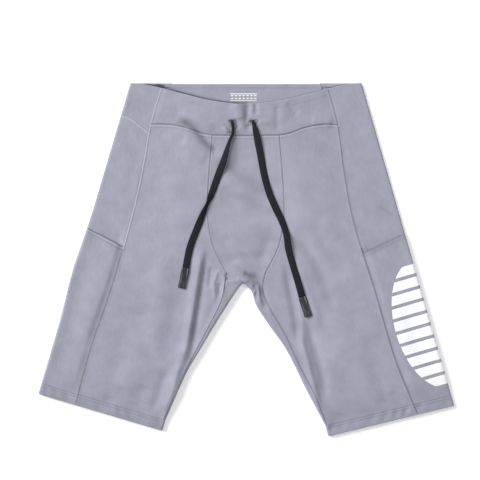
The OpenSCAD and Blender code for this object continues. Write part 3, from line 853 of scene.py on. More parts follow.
def make_cord(s):
    side = SIDES[s]
    path = CORD_PATHS[s].copy()
    t = np.linspace(0, 1, len(path))
    angle, share = turned(TURNS[s], t, 1), turned(TURNS[s], t, 2)
    wide = CORD_W * share
    thick = CORD_T * (1 + 1.3 * (1 - share))
    # It rests on the cloth, and rises where it turns on edge.
    reach = np.abs(wide / 2 * np.sin(np.radians(angle))) + thick / 2 * np.abs(np.cos(np.radians(angle)))
    way = np.array(TIP_END[s]) / MM - path[-1]
    way /= np.linalg.norm(way)
    cloth = front_height(path[:, 0], path[:, 1]) + band_lift(path[:, 0], path[:, 1])
    # It also clears the cloth ahead of it, which it slides over when it is pulled.
    moves = smooth(t / t[GIVES_TO])
    for pulled in PULLS[1:]:
        ahead = path[:, :2] + way[:2] * pulled * moves[:, None]
        cloth = np.maximum(cloth, front_height(ahead[:, 0], ahead[:, 1]))
    path[:, 2] = np.where(t < 1, np.maximum(path[:, 2], cloth + reach + 0.1), path[:, 2])
    path[:, 2] = steadied(path[:, 2], 7)
    path[0, 2] = CORD_ROUTE[s][0][2] / MM
    # The sleeve is straight and stiff: it tilts up as far as it has to, to clear what it slides over.
    u = np.linspace(0, 1, 25)
    line = path[-1] + way * (0.5 + (TIP_L - 1) * u[:, None])
    across = np.array([-way[1], way[0]]) * CORD_W / 2
    clear = np.full(len(line), TIP_Z)
    for pulled in PULLS:
        for aside in (-1, 0, 1):
            ahead = line[:, :2] + way[:2] * pulled + across * aside
            clear = np.maximum(clear, front_height(ahead[:, 0], ahead[:, 1]) + CORD_T / 2 + 0.6)
    path[:, 2] += max(clear[0] - path[-1, 2], 0) * smooth((t - 0.8) / 0.2)
    line[:, 2] = path[-1, 2] + max(np.max((clear[5:] - path[-1, 2]) / u[5:]), 0) * u
    cord = sweep(f"{side}_drawcord_end_tape", path, wide, thick, angle)
    cord.data.materials.append(cord_braid)
    tip_wide = np.full(len(line), CORD_W + 0.6)
    tip_wide[[0, -1]] -= 0.5
    tip = sweep(f"{side}_cord_tip_sleeve", line, tip_wide, np.full(len(line), (CORD_T + 0.6) * 0.98),
                np.zeros(len(line)), cap=0.4)
    add_piece(tip, f"{side}_cord_end", sleeve_clear, [f"{side}_cord_tip"])
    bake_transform(cord)
    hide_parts(f"{side}_drawcord_end")
    lengths(path)[-1] * MM


def band_lift(x, y):
    """The front waistband stands a layer above the panels below its seam."""
    d, side, _ = to_line(x, y, BAND_LINE)
    past_seam = np.zeros(np.shape(x))
    for s in SIDES:
        down, inn = leg_place(s, x, y)
        past_seam += np.where(np.sign(x) == s, inn - side_in(s, down), 0)
    return 0.75 * np.where(side > 0, smooth(d / 2.2), 0) * smooth(past_seam / 10)


for s in SIDES:
    make_cord(s)

# ---------------------------------------------------------------- tone along seams and folds

# Each tone, painted shade or painted highlight: (line, how far to its left, width, how much darker, or
# lighter where below 0).
# Inside the waist, shade is painted dark close under the front edge and in a spot at the top of the right
# side seam.
RIGHT_EDGE = join(leg(-1, -1, 6), leg(-1, -4, 18), front_edge(-1))
LEFT_EDGE = join(front_edge(1)[::-1], leg(1, -4, 18))
SEAM_TOP_SPOT = [(-133.0, 262.0), (-124.0, 259.5)]
FRONT_SHADE = [(RIGHT_EDGE, 1.4, 1.8, 0.98), (SEAM_TOP_SPOT, 0.0, 2.6, 0.9),
               (RIGHT_EDGE, 2.6, 2.6, 0.30), (LEFT_EDGE, 1.0, 1.2, 0.8)]
MOUTHS = {s: join(leg(s, MOUTH_DOWN[s], 1.5),
                  leg(s, MOUTH_DOWN[s] + MOUTH_SLANT, side_in(s, MOUTH_DOWN[s]) - 0.5)) for s in SIDES}
SHADE_AND_HIGHLIGHT_LINES = [
    # seams and pocket mouths: painted shade along their lines, painted highlights on and beside them
    (SIDE_TOP, 0.0, 0.7, -0.42), (SIDE_TOP, 1.7, 0.8, 0.16), (SIDE_TOP, -1.7, 0.8, 0.12),
    (SIDE_LOW, 0.3, 0.75, 0.55), (SIDE_LOW, -1.5, 0.8, -0.16),
    (V_SEAM, 0.0, 0.7, -0.36), (V_SEAM, 1.8, 0.9, 0.12),
    (SIDE_LINES[1][:40], 0.0, 0.7, 0.42), (SIDE_LINES[1][38:], 0.0, 0.8, 0.58),
    (SIDE_LINES[1], -2.0, 1.0, -0.08),
    (MOUTHS[-1], 0.0, 0.9, 0.55), (MOUTHS[-1], -2.2, 1.1, -0.22), (MOUTHS[-1], -4.4, 0.8, 0.26),
    (MOUTHS[1], 0.0, 0.9, 0.34), (MOUTHS[1], 2.2, 1.1, 0.10), (MOUTHS[1], 4.4, 0.8, 0.16),
    (POUCH_LINES[-1], 0.0, 0.65, 0.42), (POUCH_LINES[-1], -1.8, 0.9, -0.16),
    (POUCH_LINES[1], 0.0, 0.65, 0.34), (POUCH_LINES[1], 1.8, 0.9, -0.06),
    (GUSSET_LINES[-1], 0.0, 0.65, 0.30), (GUSSET_LINES[-1], -2.2, 1.1, -0.22),
    (GUSSET_LINES[-1], -6.0, 1.2, -0.14), (GUSSET_LINES[1], 0.0, 0.65, 0.50),
    # painted shade between the cord's exits, beside the right cord, along the band's fold and in the crotch's
    # bunched cloth, and a broad painted highlight on the left thigh
    ([(-7, 232), (-3, 212), (-1, 192)], 0.0, 5.5, 0.16),
    ([(-14, 190), (-16, 172), (-18, 154), (-24, 138)], 0.0, 6.5, 0.30),
    ([(-92, 205), (-82, 199), (-72, 189), (-61, 175), (-50, 165)], 0.0, 4.5, 0.30),
    ([(-2, -18), (8, -26), (16, -36), (22, -50)], 0.0, 3.5, 0.32),
    ([(66, 130), (84, 10), (112, -140)], 0.0, 30.0, -0.10),
    # painted shade and highlights along the front waistband's lower seam
    (BAND_LINE, 0.0, 0.8, 0.30), (BAND_LINE, -1.9, 1.0, -0.26), (BAND_LINE, -3.8, 0.7, 0.22),
]

# Painted shade along the hem's two stitch lines and near its foot, with a painted highlight between the
# stitch lines.
HEM_SHADE_AND_HIGHLIGHT_LINES = [(hem_place(s, up, np.linspace(0, HEM_W, 30)), 0.0, width, amount)
             for s in SIDES
             for up, width, amount in ((HEM_H - 0.4, 0.8, 0.38), (HEM_H - 2.2, 0.8, -0.14),
                                       (HEM_H - 4.2, 0.8, 0.26), (3.5, 5.0, 0.16 if s < 0 else 0.10))]
# What lies lower than this is inside the waist.
INSIDE_Z = 4.5


def paint_shade_and_highlights(obj, shade_and_highlights, inside):
    """Paints shade and highlights into the cloth's colour, through its seam attribute: painted shade along
    seams, pocket mouths, hems, folds and beside the cord, and painted highlights beside seams and on broad
    patches.
    The lines under inside, painted shade too, are only for what lies low, inside the waist."""
    co = np.zeros(len(obj.data.vertices) * 3)
    obj.data.vertices.foreach_get("co", co)
    co = co.reshape(-1, 3) / MM
    tone = np.zeros(len(co))
    deep = co[:, 2] < INSIDE_Z
    for group, where in ((shade_and_highlights, 1), (inside, deep)):
        for line, left, width, amount in group:
            d, side, _ = to_line(co[:, 0], co[:, 1], line, 4 * width + abs(left))
            off = d * np.where(side == 0, 1, side) - left
            tone += amount * np.exp(-(off / width) ** 2) * where
    # Painted shade: deep valleys are painted a little darker.
    for line, a, b, h in FOLDS:
        if h < -0.9 * GAIN:
            near = np.all((co[:, :2] > line.min(0) - 20) & (co[:, :2] < line.max(0) + 20), axis=1)
            d, side, t = to_line(co[near, 0], co[near, 1], line)
            fade = smooth(t / 0.3) * smooth((1 - t) / 0.3)
            tone[near] += 0.06 * abs(h) * fade * np.exp(-(d / (0.8 * np.where(side > 0, a, b))) ** 2)
    layer = obj.data.attributes.new("seam", "FLOAT", "POINT")
    layer.data.foreach_set("value", np.clip(tone, -1, 1).astype(np.float32))


# ---------------------------------------------------------------- front panels, pouch and gusset

# Panels reach this far up the hem.
UNDER_HEM = HEM_H - 0.2
for s in SIDES:
    seam_in = side_in(s, OUTSEAM[s] - HEM_H)
    outer = join(side_seam(s, BAND_DOWN, float(hem_down(s, UNDER_HEM, seam_in)) - 2),
                 hem_place(s, UNDER_HEM, seam_in))
    inner = join(pouch_seam(s), gusset_seam(s)[1:])
    bottom = join(outer[-1], hem_place(s, UNDER_HEM, 120), gusset_seam(s)[-1])
    P = on_front(patch(band_seam(s), bottom, outer, inner, 96, 280))
    add_cloth(f"{SIDES[s]}_front_panel_cloth", P, 0.95, f"{SIDES[s]}_half", knit_cloth,
              [f"{SIDES[s]}_front_panel"], shade_and_highlights=SHADE_AND_HIGHLIGHT_LINES)

top = join(band_centre(-1), band_centre(1)[::-1][1:])
bottom = join(pouch_seam(-1)[-1], POUCH_FOOT, pouch_seam(1)[-1])
P = on_front(patch(top, bottom, pouch_seam(-1), pouch_seam(1), 90, 150))
add_cloth("front_pouch_cloth", P, 0.95, "fold", knit_cloth, ["right_front_pouch", "left_front_pouch"],
          shade_and_highlights=SHADE_AND_HIGHLIGHT_LINES)

# The gusset runs from its front seam over the inner edges to its back seam. Its columns are matched at
# the crotch.
front_line = join(gusset_seam(-1)[::-1], POUCH_FOOT, gusset_seam(1))
back_line = join(gusset_back_seam(-1)[::-1], gusset_back_seam(1)[1:])
to_crotch = 1 - (1 - np.linspace(0, 1, 211)) ** 1.4
FRONT_SEAM, EDGE, BACK_SEAM = (
    np.vstack([along(line[:k + 1], to_crotch), along(line[k:], 1 - to_crotch[::-1])[1:]])
    for line, k in ((front_line, int(np.argmin(np.abs(front_line[:, 0])))),
                    (EDGE_LINE, int(np.argmax(EDGE_LINE[:, 1]))),
                    (back_line, int(np.argmax(back_line[:, 1])))))


def gusset_rows(seam, shares, count):
    """Rows from a seam to the inner edge, closer together where the cloth rolls over it:
    the places, and how far each is from the edge."""
    wide = np.linalg.norm(seam - EDGE, axis=1)
    roll = np.minimum(ROUND_IN, wide * 0.6)
    far = [wide + (roll - wide) * k for k in np.linspace(0, 1, count)[:-1]] + [roll * k for k in shares]
    return np.array([EDGE + (seam - EDGE) * (d / wide)[:, None] for d in far]), np.array(far)


front_xy, front_far = gusset_rows(FRONT_SEAM, TURN[::-1], 13)
back_xy, back_far = gusset_rows(BACK_SEAM, TURN[:0:-1], 8)
back_xy, back_far = back_xy[::-1], back_far[::-1]
front_z = front_height(front_xy[..., 0], front_xy[..., 1], from_edge=front_far)
back_z = back_height(back_xy[..., 0], back_xy[..., 1], from_edge=back_far)
P = raised(np.concatenate([front_xy, back_xy]), np.concatenate([front_z, back_z]))
add_cloth("crotch_gusset_cloth", P, 0.9, "fold", knit_cloth, ["right_crotch_gusset", "left_crotch_gusset"],
          up=-1, shade_and_highlights=SHADE_AND_HIGHLIGHT_LINES)

# ---------------------------------------------------------------- sides


def side_columns(front_n=34, back_to=None):
    """Columns across a side piece: (face, share of the front width, distance in from the fold)."""
    columns = [("front", f, ROUND) for f in np.linspace(1, 0, front_n)[:-1]]
    columns += [("front", 0, d) for d in ROUND * TURN[::-1]]
    if back_to:
        columns += [("back", 0, d) for d in ROUND * TURN[1:]]
        columns += [("back", 0, d) for d in np.linspace(ROUND, back_to, 16)[1:]]
    return columns


def in_of(s, column, down):
    _, share, near = column
    return near + (side_in(s, down) - near) * share


def side_grid(s, top, bottom, rows, columns):
    """Places on a side piece. top(column) and bottom(column) give how far down each column runs."""
    t = spread(rows, 0.5)
    grid = np.zeros((rows, len(columns), 2))
    for c, column in enumerate(columns):
        first, last = top(column), bottom(column)
        down = first + (last - first) * t
        grid[:, c, 0], grid[:, c, 1] = down, in_of(s, column, down)
    return grid


def fold_bulge(s, down):
    """How far the side fold stands out beyond its straight line, where the right pocket is full."""
    return 3.2 * np.exp(-((down - 292) / 52) ** 2) if s < 0 else np.zeros(np.shape(down))


def by_fold(inn):
    """From 1 at the side fold to 0 at 30 mm in."""
    return np.clip(1 - inn / 30, 0, 1)


def side_layer(s, grid, columns, under=None):
    """A side piece: low, so that the pad passes over it, and up to the seam at the front.
    From under on, where it's given, a pocket covers it, and it lies just inside the pocket's fold."""
    down, inn = grid[..., 0], grid[..., 1]
    shrink = 0 if under is None else 1.15 * smooth((down - under + 2) / 5)
    xy = leg(s, down, inn + (shrink - fold_bulge(s, down)) * by_fold(inn))
    full = front_height(xy[..., 0], xy[..., 1])
    pressed = FOLD_Z + (SIDE_Z - FOLD_Z) * rounded(inn / ROUND)
    ripple = 0.22 * wavy(xy[..., 0], xy[..., 1], 60, 11) + 0.12 * wavy(xy[..., 0], xy[..., 1], 26, 12)
    pressed = pressed + np.clip(ripple, -0.4, 0.3) * smooth((inn - 4) / 8)
    to_seam = smooth((inn - (side_in(s, down) - 12)) / 11.5)
    height = pressed + (full - pressed) * to_seam
    if under is None:
        height = height + (np.minimum(full, 8.3) - pressed) * 0.6 * (1 - to_seam)
    front = np.array([face == "front" for face, _, _ in columns])
    return raised(xy, np.where(front, height, FOLD_Z - FOLD_Z * rounded(inn / ROUND) + REST))


def turned_top(P, height, deep):
    """Adds a turned edge before the first row: over the top and deep rows down on the inside."""
    N = normals(P)
    if np.mean(N[:, :max(2, P.shape[1] // 8), 2]) < 0:
        N = -N
    T = P[0] - P[1]
    T /= np.linalg.norm(T, axis=1)[:, None]
    inner = [P[j] - N[j] * height for j in range(deep, 0, -1)]
    middle = P[0] - N[0] * height / 2
    roll = [middle + height / 2 * (N[0] * math.cos(a) + T * math.sin(a))
            for a in np.linspace(math.pi, 0, 9)[:-1]]
    return np.concatenate([np.array(inner + roll), P], axis=0)


def waist_top(s):
    def top(column):
        if column[0] == "back":
            return -column[2] * math.tan(SPLAY[s])
        return float(np.interp(in_of(s, column, SEAM_TOP), [0, 18, float(side_in(s, SEAM_TOP))],
                               [0, -4, SEAM_TOP]))
    return top


def v_top(column):
    """The right side panel's top: the V seam on the front, level on the back."""
    return 50.0 if column[0] == "back" else float(v_seam_down(in_of(-1, column, 64)))


def mouth(s):
    wide = side_in(s, MOUTH_DOWN[s])
    return lambda column: float(MOUTH_DOWN[s] + MOUTH_SLANT * in_of(s, column, MOUTH_DOWN[s]) / wide)


def hem_bottom(s):
    return lambda column: float(hem_down(s, UNDER_HEM, in_of(s, column, OUTSEAM[s] - HEM_H)))


columns = side_columns(back_to=BACK_IN)
for s in SIDES:
    grid = side_grid(s, v_top if s < 0 else waist_top(s), hem_bottom(s), 300, columns)
    P = side_layer(s, grid, columns, under=MOUTH_DOWN[s])
    if s > 0:
        P = turned_top(P, 2.2, 6)
    add_cloth(f"{SIDES[s]}_side_panel_cloth", P, 0.9, f"{SIDES[s]}_half", knit_cloth,
              [f"{SIDES[s]}_side_panel"], shade_and_highlights=SHADE_AND_HIGHLIGHT_LINES, inside=FRONT_SHADE if s > 0 else ())
    if s < 0:
        P = turned_top(side_layer(s, side_grid(s, waist_top(s), v_top, 60, columns), columns), 2.2, 8)
        add_cloth("right_waistband_side_cloth", P, 0.9, "right_half", band_cloth,
                  ["right_waistband_side"], shade_and_highlights=SHADE_AND_HIGHLIGHT_LINES, inside=FRONT_SHADE)

# ---------------------------------------------------------------- pockets


# Heights of a pocket: at its mouth, the least that clears the pad under it, and at the hem.
POCKET_Z, CLEAR_Z, POCKET_HEM_Z = 13.8, 12.85, 9.6


def pocket_height(s, down, inn, x, y):
    """The pocket stands clear of the pad, and closes down to the fold and to the side seam."""
    body = POCKET_Z - 0.9 * smooth((inn - 3) / 13) + 1.8 * smooth((inn - 16) / 32)
    body = body + 0.16 * wavy(x, y, 40, 21) + 0.05 * wavy(x, y, 15, 22) + fold_height(x, y, POCKET_FOLDS)
    body = np.maximum(body, CLEAR_Z)
    up = hem_down(s, 0, inn) - down
    body = body - (body - POCKET_HEM_Z) * (1 - smooth((up - 10) / 42))
    z = FOLD_Z + (body - FOLD_Z) * rounded(inn / ROUND)
    return z + (front_height(x, y) - z) * smooth((inn - (side_in(s, down) - 11.5)) / 11)


columns = side_columns(44)
for s in SIDES:
    grid = side_grid(s, mouth(s), hem_bottom(s), 190, columns)
    down, inn = grid[..., 0], grid[..., 1]
    xy = leg(s, down, inn - fold_bulge(s, down) * by_fold(inn))
    P = raised(xy, pocket_height(s, down, inn, xy[..., 0], xy[..., 1]))
    # A last column runs down the outside of the fold to its seam.
    last = P[:, -1:].copy()
    last[..., 2] -= 1.6
    P = turned_top(np.concatenate([P, last], axis=1), 1.4, 7)
    add_cloth(f"{SIDES[s]}_pocket_panel_cloth", P, 0.55, f"{SIDES[s]}_half", knit_cloth,
              [f"{SIDES[s]}_pocket_panel"], shade_and_highlights=SHADE_AND_HIGHLIGHT_LINES)

# ---------------------------------------------------------------- hems

# Once round the hem: across the front, over the side fold, across the back and over the inner edge.
turn_in = ROUND_IN * TURN
front_half = [*np.linspace(HEM_W - ROUND_IN, ROUND, 240), *(ROUND * TURN)[::-1][1:]]
back_half = [*(ROUND * TURN)[1:], *np.linspace(ROUND, HEM_W - ROUND_IN, 50)[1:],
             *(HEM_W - turn_in[::-1][1:])]
inn = np.array([*front_half, *back_half, *(HEM_W - turn_in[1:-1])])
on_face = np.ones(len(inn), bool)
on_face[len(front_half):len(front_half) + len(back_half)] = False
for s in SIDES:
    rows = []
    for up in [HEM_H, HEM_H - 0.6, *np.linspace(HEM_H - 1.5, 1.2, 13), 0.7, 0.35, 0.12, 0.0]:
        xy = hem_place(s, up, inn)
        # The folded edge rolls in at the very bottom.
        front_z = np.maximum(front_height(xy[:, 0], xy[:, 1]) - 0.9 * (1 - rounded(up / 1.2)), EDGE_Z)
        rows.append(raised(xy, np.where(on_face, front_z, back_height(xy[:, 0], xy[:, 1]))))
    add_cloth(f"{SIDES[s]}_hem_band_cloth", np.array(rows), 1.8, f"{SIDES[s]}_half", knit_cloth,
              [f"{SIDES[s]}_hem_band"], ring=True, shade_and_highlights=SHADE_AND_HIGHLIGHT_LINES + HEM_SHADE_AND_HIGHLIGHT_LINES)

# ---------------------------------------------------------------- back of the shorts

WAIST_Y = float(leg(1, 0, 0)[1])
for s in SIDES:
    down_at = BAND_H / math.cos(SPLAY[s]) - BACK_IN * math.tan(SPLAY[s])
    seam = gusset_back_seam(s)
    outer = join(leg(s, down_at, BACK_IN), hem_place(s, UNDER_HEM, BACK_IN))
    inner = join([[0, WAIST_Y - BAND_H]], seam)
    xy = patch(join(outer[0], inner[0]), join(outer[-1], inner[-1]), outer, inner, 72, 170)
    P = on_back(xy)
    from_seams = np.min([to_line(xy[..., 0], xy[..., 1], line)[0] for line in (outer, inner)], axis=0)
    P[..., 2] += 0.12 * (1 + wavy(xy[..., 0], xy[..., 1], 55, 31)) * smooth(from_seams / 8)
    # Painted shade along the back panel's two seams.
    add_cloth(f"{SIDES[s]}_back_panel_cloth", P, 0.9, "fold", knit_cloth, [f"{SIDES[s]}_back_panel"],
              up=-1, shade_and_highlights=[(outer, 0, 0.9, 0.4), (inner, 0, 0.9, 0.4)])

# ---------------------------------------------------------------- waistband


def band_side_x(s, y):
    """Where the waistband's back part ends at the side."""
    return (s * (WAIST / 2 - BACK_IN / math.cos(SPLAY[s]) + (WAIST_Y - y) * math.tan(SPLAY[s]))
            - MIDDLE[0])


def slot_pit(x, y):
    """The slots that the cord comes out of dip into the band."""
    return -1.7 * sum(np.exp(-(((x - hole_x) / 5.2) ** 4 + ((y - hole_y) / 1.7) ** 4))
                      for hole_x, hole_y in HOLES.values())


top = join(front_edge(-1), front_edge(1)[::-1][1:])
sides = [side_seam(s, SEAM_TOP, BAND_DOWN) for s in SIDES]
xy = patch(top, BAND_LINE, *sides, 220, 56)
P = on_front(xy)
P[..., 2] += band_lift(xy[..., 0], xy[..., 1]) + slot_pit(xy[..., 0], xy[..., 1])
add_cloth("waistband_front_cloth", turned_top(P, 2.6, 9), 0.85, "fold", band_cloth,
          ["right_waistband_front", "left_waistband_front"], shade_and_highlights=SHADE_AND_HIGHLIGHT_LINES)

# The facing starts at the band's fifth row.
sixty = np.linspace(0, 1, 60)
P = on_front(patch(along(xy[4], sixty), along(BAND_LINE, sixty), xy[4:, 0], xy[4:, -1], 130, 26, dense=0.2),
             seams=False)
P[..., 2] -= 1.5
add_cloth("waistband_facing_cloth", P, 0.6, "fold", lining_cloth,
          ["right_waistband_facing", "left_waistband_facing"])


def back_grid(low, high, across, rows):
    """A grid of places on the back of the waistband, from high down to low above its top edge."""
    y = np.linspace(WAIST_Y + high, WAIST_Y + low, rows)[:, None]
    x0, x1 = band_side_x(-1, y), band_side_x(1, y)
    return np.stack([x0 + (x1 - x0) * np.linspace(0, 1, across), np.broadcast_to(y, (rows, across))], -1)


# The outside of the band at the back, over the top, and turned down inside to a stitched edge.
TURN_IN = 6.5
TURN_Z = 3.3
BAND_COLUMNS = 150
half_turn = TURN_Z / 2
profile = [(-half_turn + half_turn * math.cos(a), half_turn + half_turn * math.sin(a))
           for a in np.linspace(-math.pi / 2, math.pi / 2, 10)[1:]]
profile += [(q, TURN_Z) for q in np.linspace(-half_turn, -TURN_IN, 10)[1:]]
over = []
for q, z in profile:
    ring = back_grid(q, q, BAND_COLUMNS, 1)[0]
    ripple = 0.12 * wavy(ring[:, 0], ring[:, 1] * 0, 26, 41) * smooth((z - 1) / 2)
    over.append(raised(ring, z + REST + ripple))
P = np.concatenate([np.array(over)[::-1], on_back(back_grid(-BAND_H, -half_turn, BAND_COLUMNS, 26))], axis=0)
turn_line, back_low = (np.array([[-170, WAIST_Y - d], [170, WAIST_Y - d]]) for d in (TURN_IN, BAND_H))
# Painted shade along the turned edge and the band's foot, and inside under the front edge.
add_cloth("waistband_back_cloth", P, 0.9, "fold", band_cloth,
          ["right_waistband_back", "left_waistband_back"], up=-1,
          shade_and_highlights=[(turn_line, 0, 0.9, 0.05), (back_low, 0, 0.9, 0.4)], inside=FRONT_SHADE)


def inside_height(x, y):
    return 3.15 + 0.16 * wavy(x, y, 34, 43) + 0.05 * wavy(x, y, 12, 44)


xy = back_grid(-BAND_H, -TURN_IN + 0.4, BAND_COLUMNS, 34)
P = raised(xy, np.minimum(inside_height(xy[..., 0], xy[..., 1]), 3.25))
# Painted shade along the turned edge, and inside under the front edge.
add_cloth("waistband_lining_cloth", P, 0.7, "fold", lining_cloth,
          ["right_waistband_lining", "left_waistband_lining"],
          shade_and_highlights=[(turn_line, 0, 0.9, 0.05)], inside=FRONT_SHADE)

xy = back_grid(-BAND_H + 8, -6, 170, 20)
P = raised(xy, 2.15 + 0.06 * np.sin(2 * math.pi * (xy[..., 1] - WAIST_Y) / 3.0))
strip = shell("waist_elastic_strip", P, 1.0)
add_piece(strip, "fold", elastic, ["right_waist_elastic", "left_waist_elastic"])

# A plain printed mark inside the back: two rows of dashes between two bars, as (x0, x1, y0, y1).
marks = [(-24, 16, 248.0, 249.2), (-24, 16, 238.2, 239.0)]
for i in range(7):
    x = -23 + i * 5.8
    marks += [(x, x + 3.6, 245.2, 246.6), (x, x + 3.6, 241.0, 242.4)]
PRINT_THICK = 0.08
for i, (x0, x1, y0, y1) in enumerate(marks):
    x = np.linspace(x0, x1, max(3, int(abs(x1 - x0) / 1.2) + 1))
    xy = np.array([np.stack([x, np.full(len(x), y)], -1) for y in (y1, y0)])
    P = raised(xy, inside_height(xy[..., 0], xy[..., 1]) + 0.05 + PRINT_THICK)
    place(shell(f"inside_label_mark_{i + 1}", P, PRINT_THICK), "fold", label_white)

# ---------------------------------------------------------------- slots, hidden cord, print


def stitch_mesh(name, centres, directions, length, radius, where):
    """Many small stitches in one mesh: each is a short rounded spindle of thread."""
    C, D = np.asarray(centres, float), np.asarray(directions, float)
    D /= np.linalg.norm(D, axis=1)[:, None]
    A = np.cross(D, (0, 0, 1.0))
    A /= np.maximum(np.linalg.norm(A, axis=1)[:, None], 1e-9)
    N = np.cross(A, D)
    # Two tips with three rings of five points between them.
    local = [(-0.5, 0, -0.5)]
    for x, r in ((-0.36, 0.85), (0.0, 1.0), (0.36, 0.85)):
        local += [(x, r * math.cos(a), r * math.sin(a)) for a in 2 * math.pi * np.arange(5) / 5]
    local = np.array([*local, (0.5, 0, -0.5)])
    V = (C[:, None] + D[:, None] * (local[None, :, :1] * length)
         + A[:, None] * (local[None, :, 1:2] * radius) + N[:, None] * (local[None, :, 2:] * radius))
    faces = []
    for k in range(5):
        after = (k + 1) % 5
        faces.append((0, 1 + k, 1 + after))
        faces += [(a + k, a + 5 + k, a + 5 + after, a + after) for a in (1, 6)]
        faces.append((11 + k, 16, 11 + after))
    all_faces = [[j + i * len(local) for j in face] for i in range(len(C)) for face in faces]
    add_piece(mesh_object(name, V.reshape(-1, 3), all_faces, sharp=80), where, thread, ())


# The rows of stitches on each half: their middles and directions.
STITCHES = {"right_half": [], "left_half": []}
# Half as thick as the seams' thread is.
THREAD = 0.17


def add_stitches(where, line, cloth, pitch=3.0, length=2.5, offset=0.0):
    """A row of stitches offset to the left of a line. cloth gives the height that they lie at."""
    total = lengths(line)[-1]
    count = max(2, int(total / pitch))
    t = (np.arange(count) + 0.5) / count
    ahead = along(line, np.clip(t + 0.5 / total, 0, 1)) - along(line, np.clip(t - 0.5 / total, 0, 1))
    ahead /= np.maximum(np.linalg.norm(ahead, axis=1)[:, None], 1e-9)
    p = along(line, t) + np.stack([-ahead[:, 1], ahead[:, 0]], -1) * offset
    start_z, end_z = cloth(p - ahead * length / 2), cloth(p + ahead * length / 2)
    centre = raised(p, np.maximum(cloth(p), (start_z + end_z) / 2) + THREAD * 0.35)
    STITCHES[where].append((centre, raised(ahead * length, end_z - start_z)))


def top_of(p):
    return front_height(p[:, 0], p[:, 1])


def band_top(p):
    return top_of(p) + band_lift(p[:, 0], p[:, 1]) + slot_pit(p[:, 0], p[:, 1])


# The slots' stitched rims: an oval of thread, wrapped with close stitches.
RIM = np.array([6.0, 2.6])
RIM_POINTS = 46
for s, side in SIDES.items():
    half = f"{side}_half"
    shape = HOLES[s] + oval(*RIM, 0.6, 0.8, np.linspace(0, 2 * math.pi, RIM_POINTS + 1)[:-1])
    outward = (shape - HOLES[s]) / RIM
    outward /= np.linalg.norm(outward, axis=1)[:, None]
    path = raised(shape, band_top(shape) + 0.25)
    rim = [point + (out[0] * math.cos(a) * 0.85, out[1] * math.cos(a) * 0.85, math.sin(a) * 0.38)
           for point, out in zip(path, outward) for a in 2 * math.pi * np.arange(8) / 8]
    # The rim runs the other way round than a cord does, so its faces are turned over.
    faces = [(a, d, c, b) for a, b, c, d in tube_faces(RIM_POINTS, 8, closed=True)]
    add_piece(mesh_object(f"{side}_buttonhole_rim", rim, faces, sharp=80), half, thread,
              [f"{side}_buttonhole"])
    stitch_mesh(f"{side}_buttonhole_stitches", path + (0, 0, 0.34), raised(outward, 0.0), 2.1, 0.26, half)

    # the hidden stretch of the cord, between band and facing
    to_side = side_seam(s, 16, 28, -3, 2).mean(0)
    run_line = join(HOLES[s], [[s * 84, HOLES[s][1] + 11]], to_side)
    run_path = along(spline(run_line, 12), np.linspace(0, 1, 60))
    hidden = np.min([front_height(run_path[:, 0], run_path[:, 1] + across, seams=False)
                     for across in np.linspace(-5.5, 5.5, 7)], axis=0)
    run = sweep(f"{side}_drawcord_run_tape", raised(run_path, hidden - 1.2), np.full(60, 10.0),
                np.full(60, 0.6), np.zeros(60))
    add_piece(run, half, cord_braid, [f"{side}_drawcord_run"])

# Plain bars on the left pocket, together half of an oval. The first bar's top is FIRST down.
FIRST, BARS, PITCH, BAR_H, WIDEST = 280, 10, 19, 14, 55
HALF_L = ((BARS - 1) * PITCH + BAR_H) / 2 + 6
# The bars start this far in from the side fold.
BAR_START = 0.35
ROLL = BAR_START + (ROUND - BAR_START) * (1 - np.cos(np.linspace(0, math.pi / 2, 8)))
for i in range(BARS):
    rows = []
    for down in np.linspace(FIRST + i * PITCH, FIRST + i * PITCH + BAR_H, 9):
        reach = WIDEST * np.sqrt(max(0, 1 - ((down - FIRST - HALF_L + 6) / HALF_L) ** 2))
        inn = np.concatenate([ROLL, np.linspace(ROUND, reach, 28)[1:]])
        xy = leg(1, np.full(len(inn), down), inn)
        rows.append(raised(xy, pocket_height(1, down, inn, xy[:, 0], xy[:, 1]) + 0.10))
    P = np.array(rows)
    P[:, 0, 0] += 0.05
    bar = shell(f"left_leg_print_bar_{i + 1}", P, 0.09)
    add_piece(bar, "left_half", ink, ["left_leg_print"] if i == 0 else ())

# ---------------------------------------------------------------- pads


def dimples(x, y, radius, gap=9.0):
    """Small round dimples in staggered rows: 1 in their middles, 0 between them."""
    row = gap * 0.87
    across = (x + gap * 0.5 * (np.round(y / row) % 2)) / gap
    along_rows = y / row
    far2 = ((across - np.round(across)) * gap) ** 2 + ((along_rows - np.round(along_rows)) * row) ** 2
    return np.exp(-(far2 / radius ** 2) ** 2)


PAD_L, PAD_W, PAD_CORNER, PAD_Z, PAD_T = 150, 42, 12, 8.25, 3.1
# How far in from the side fold the pads' middles lie.
PAD_MIDDLE = {-1: 26, 1: 32}


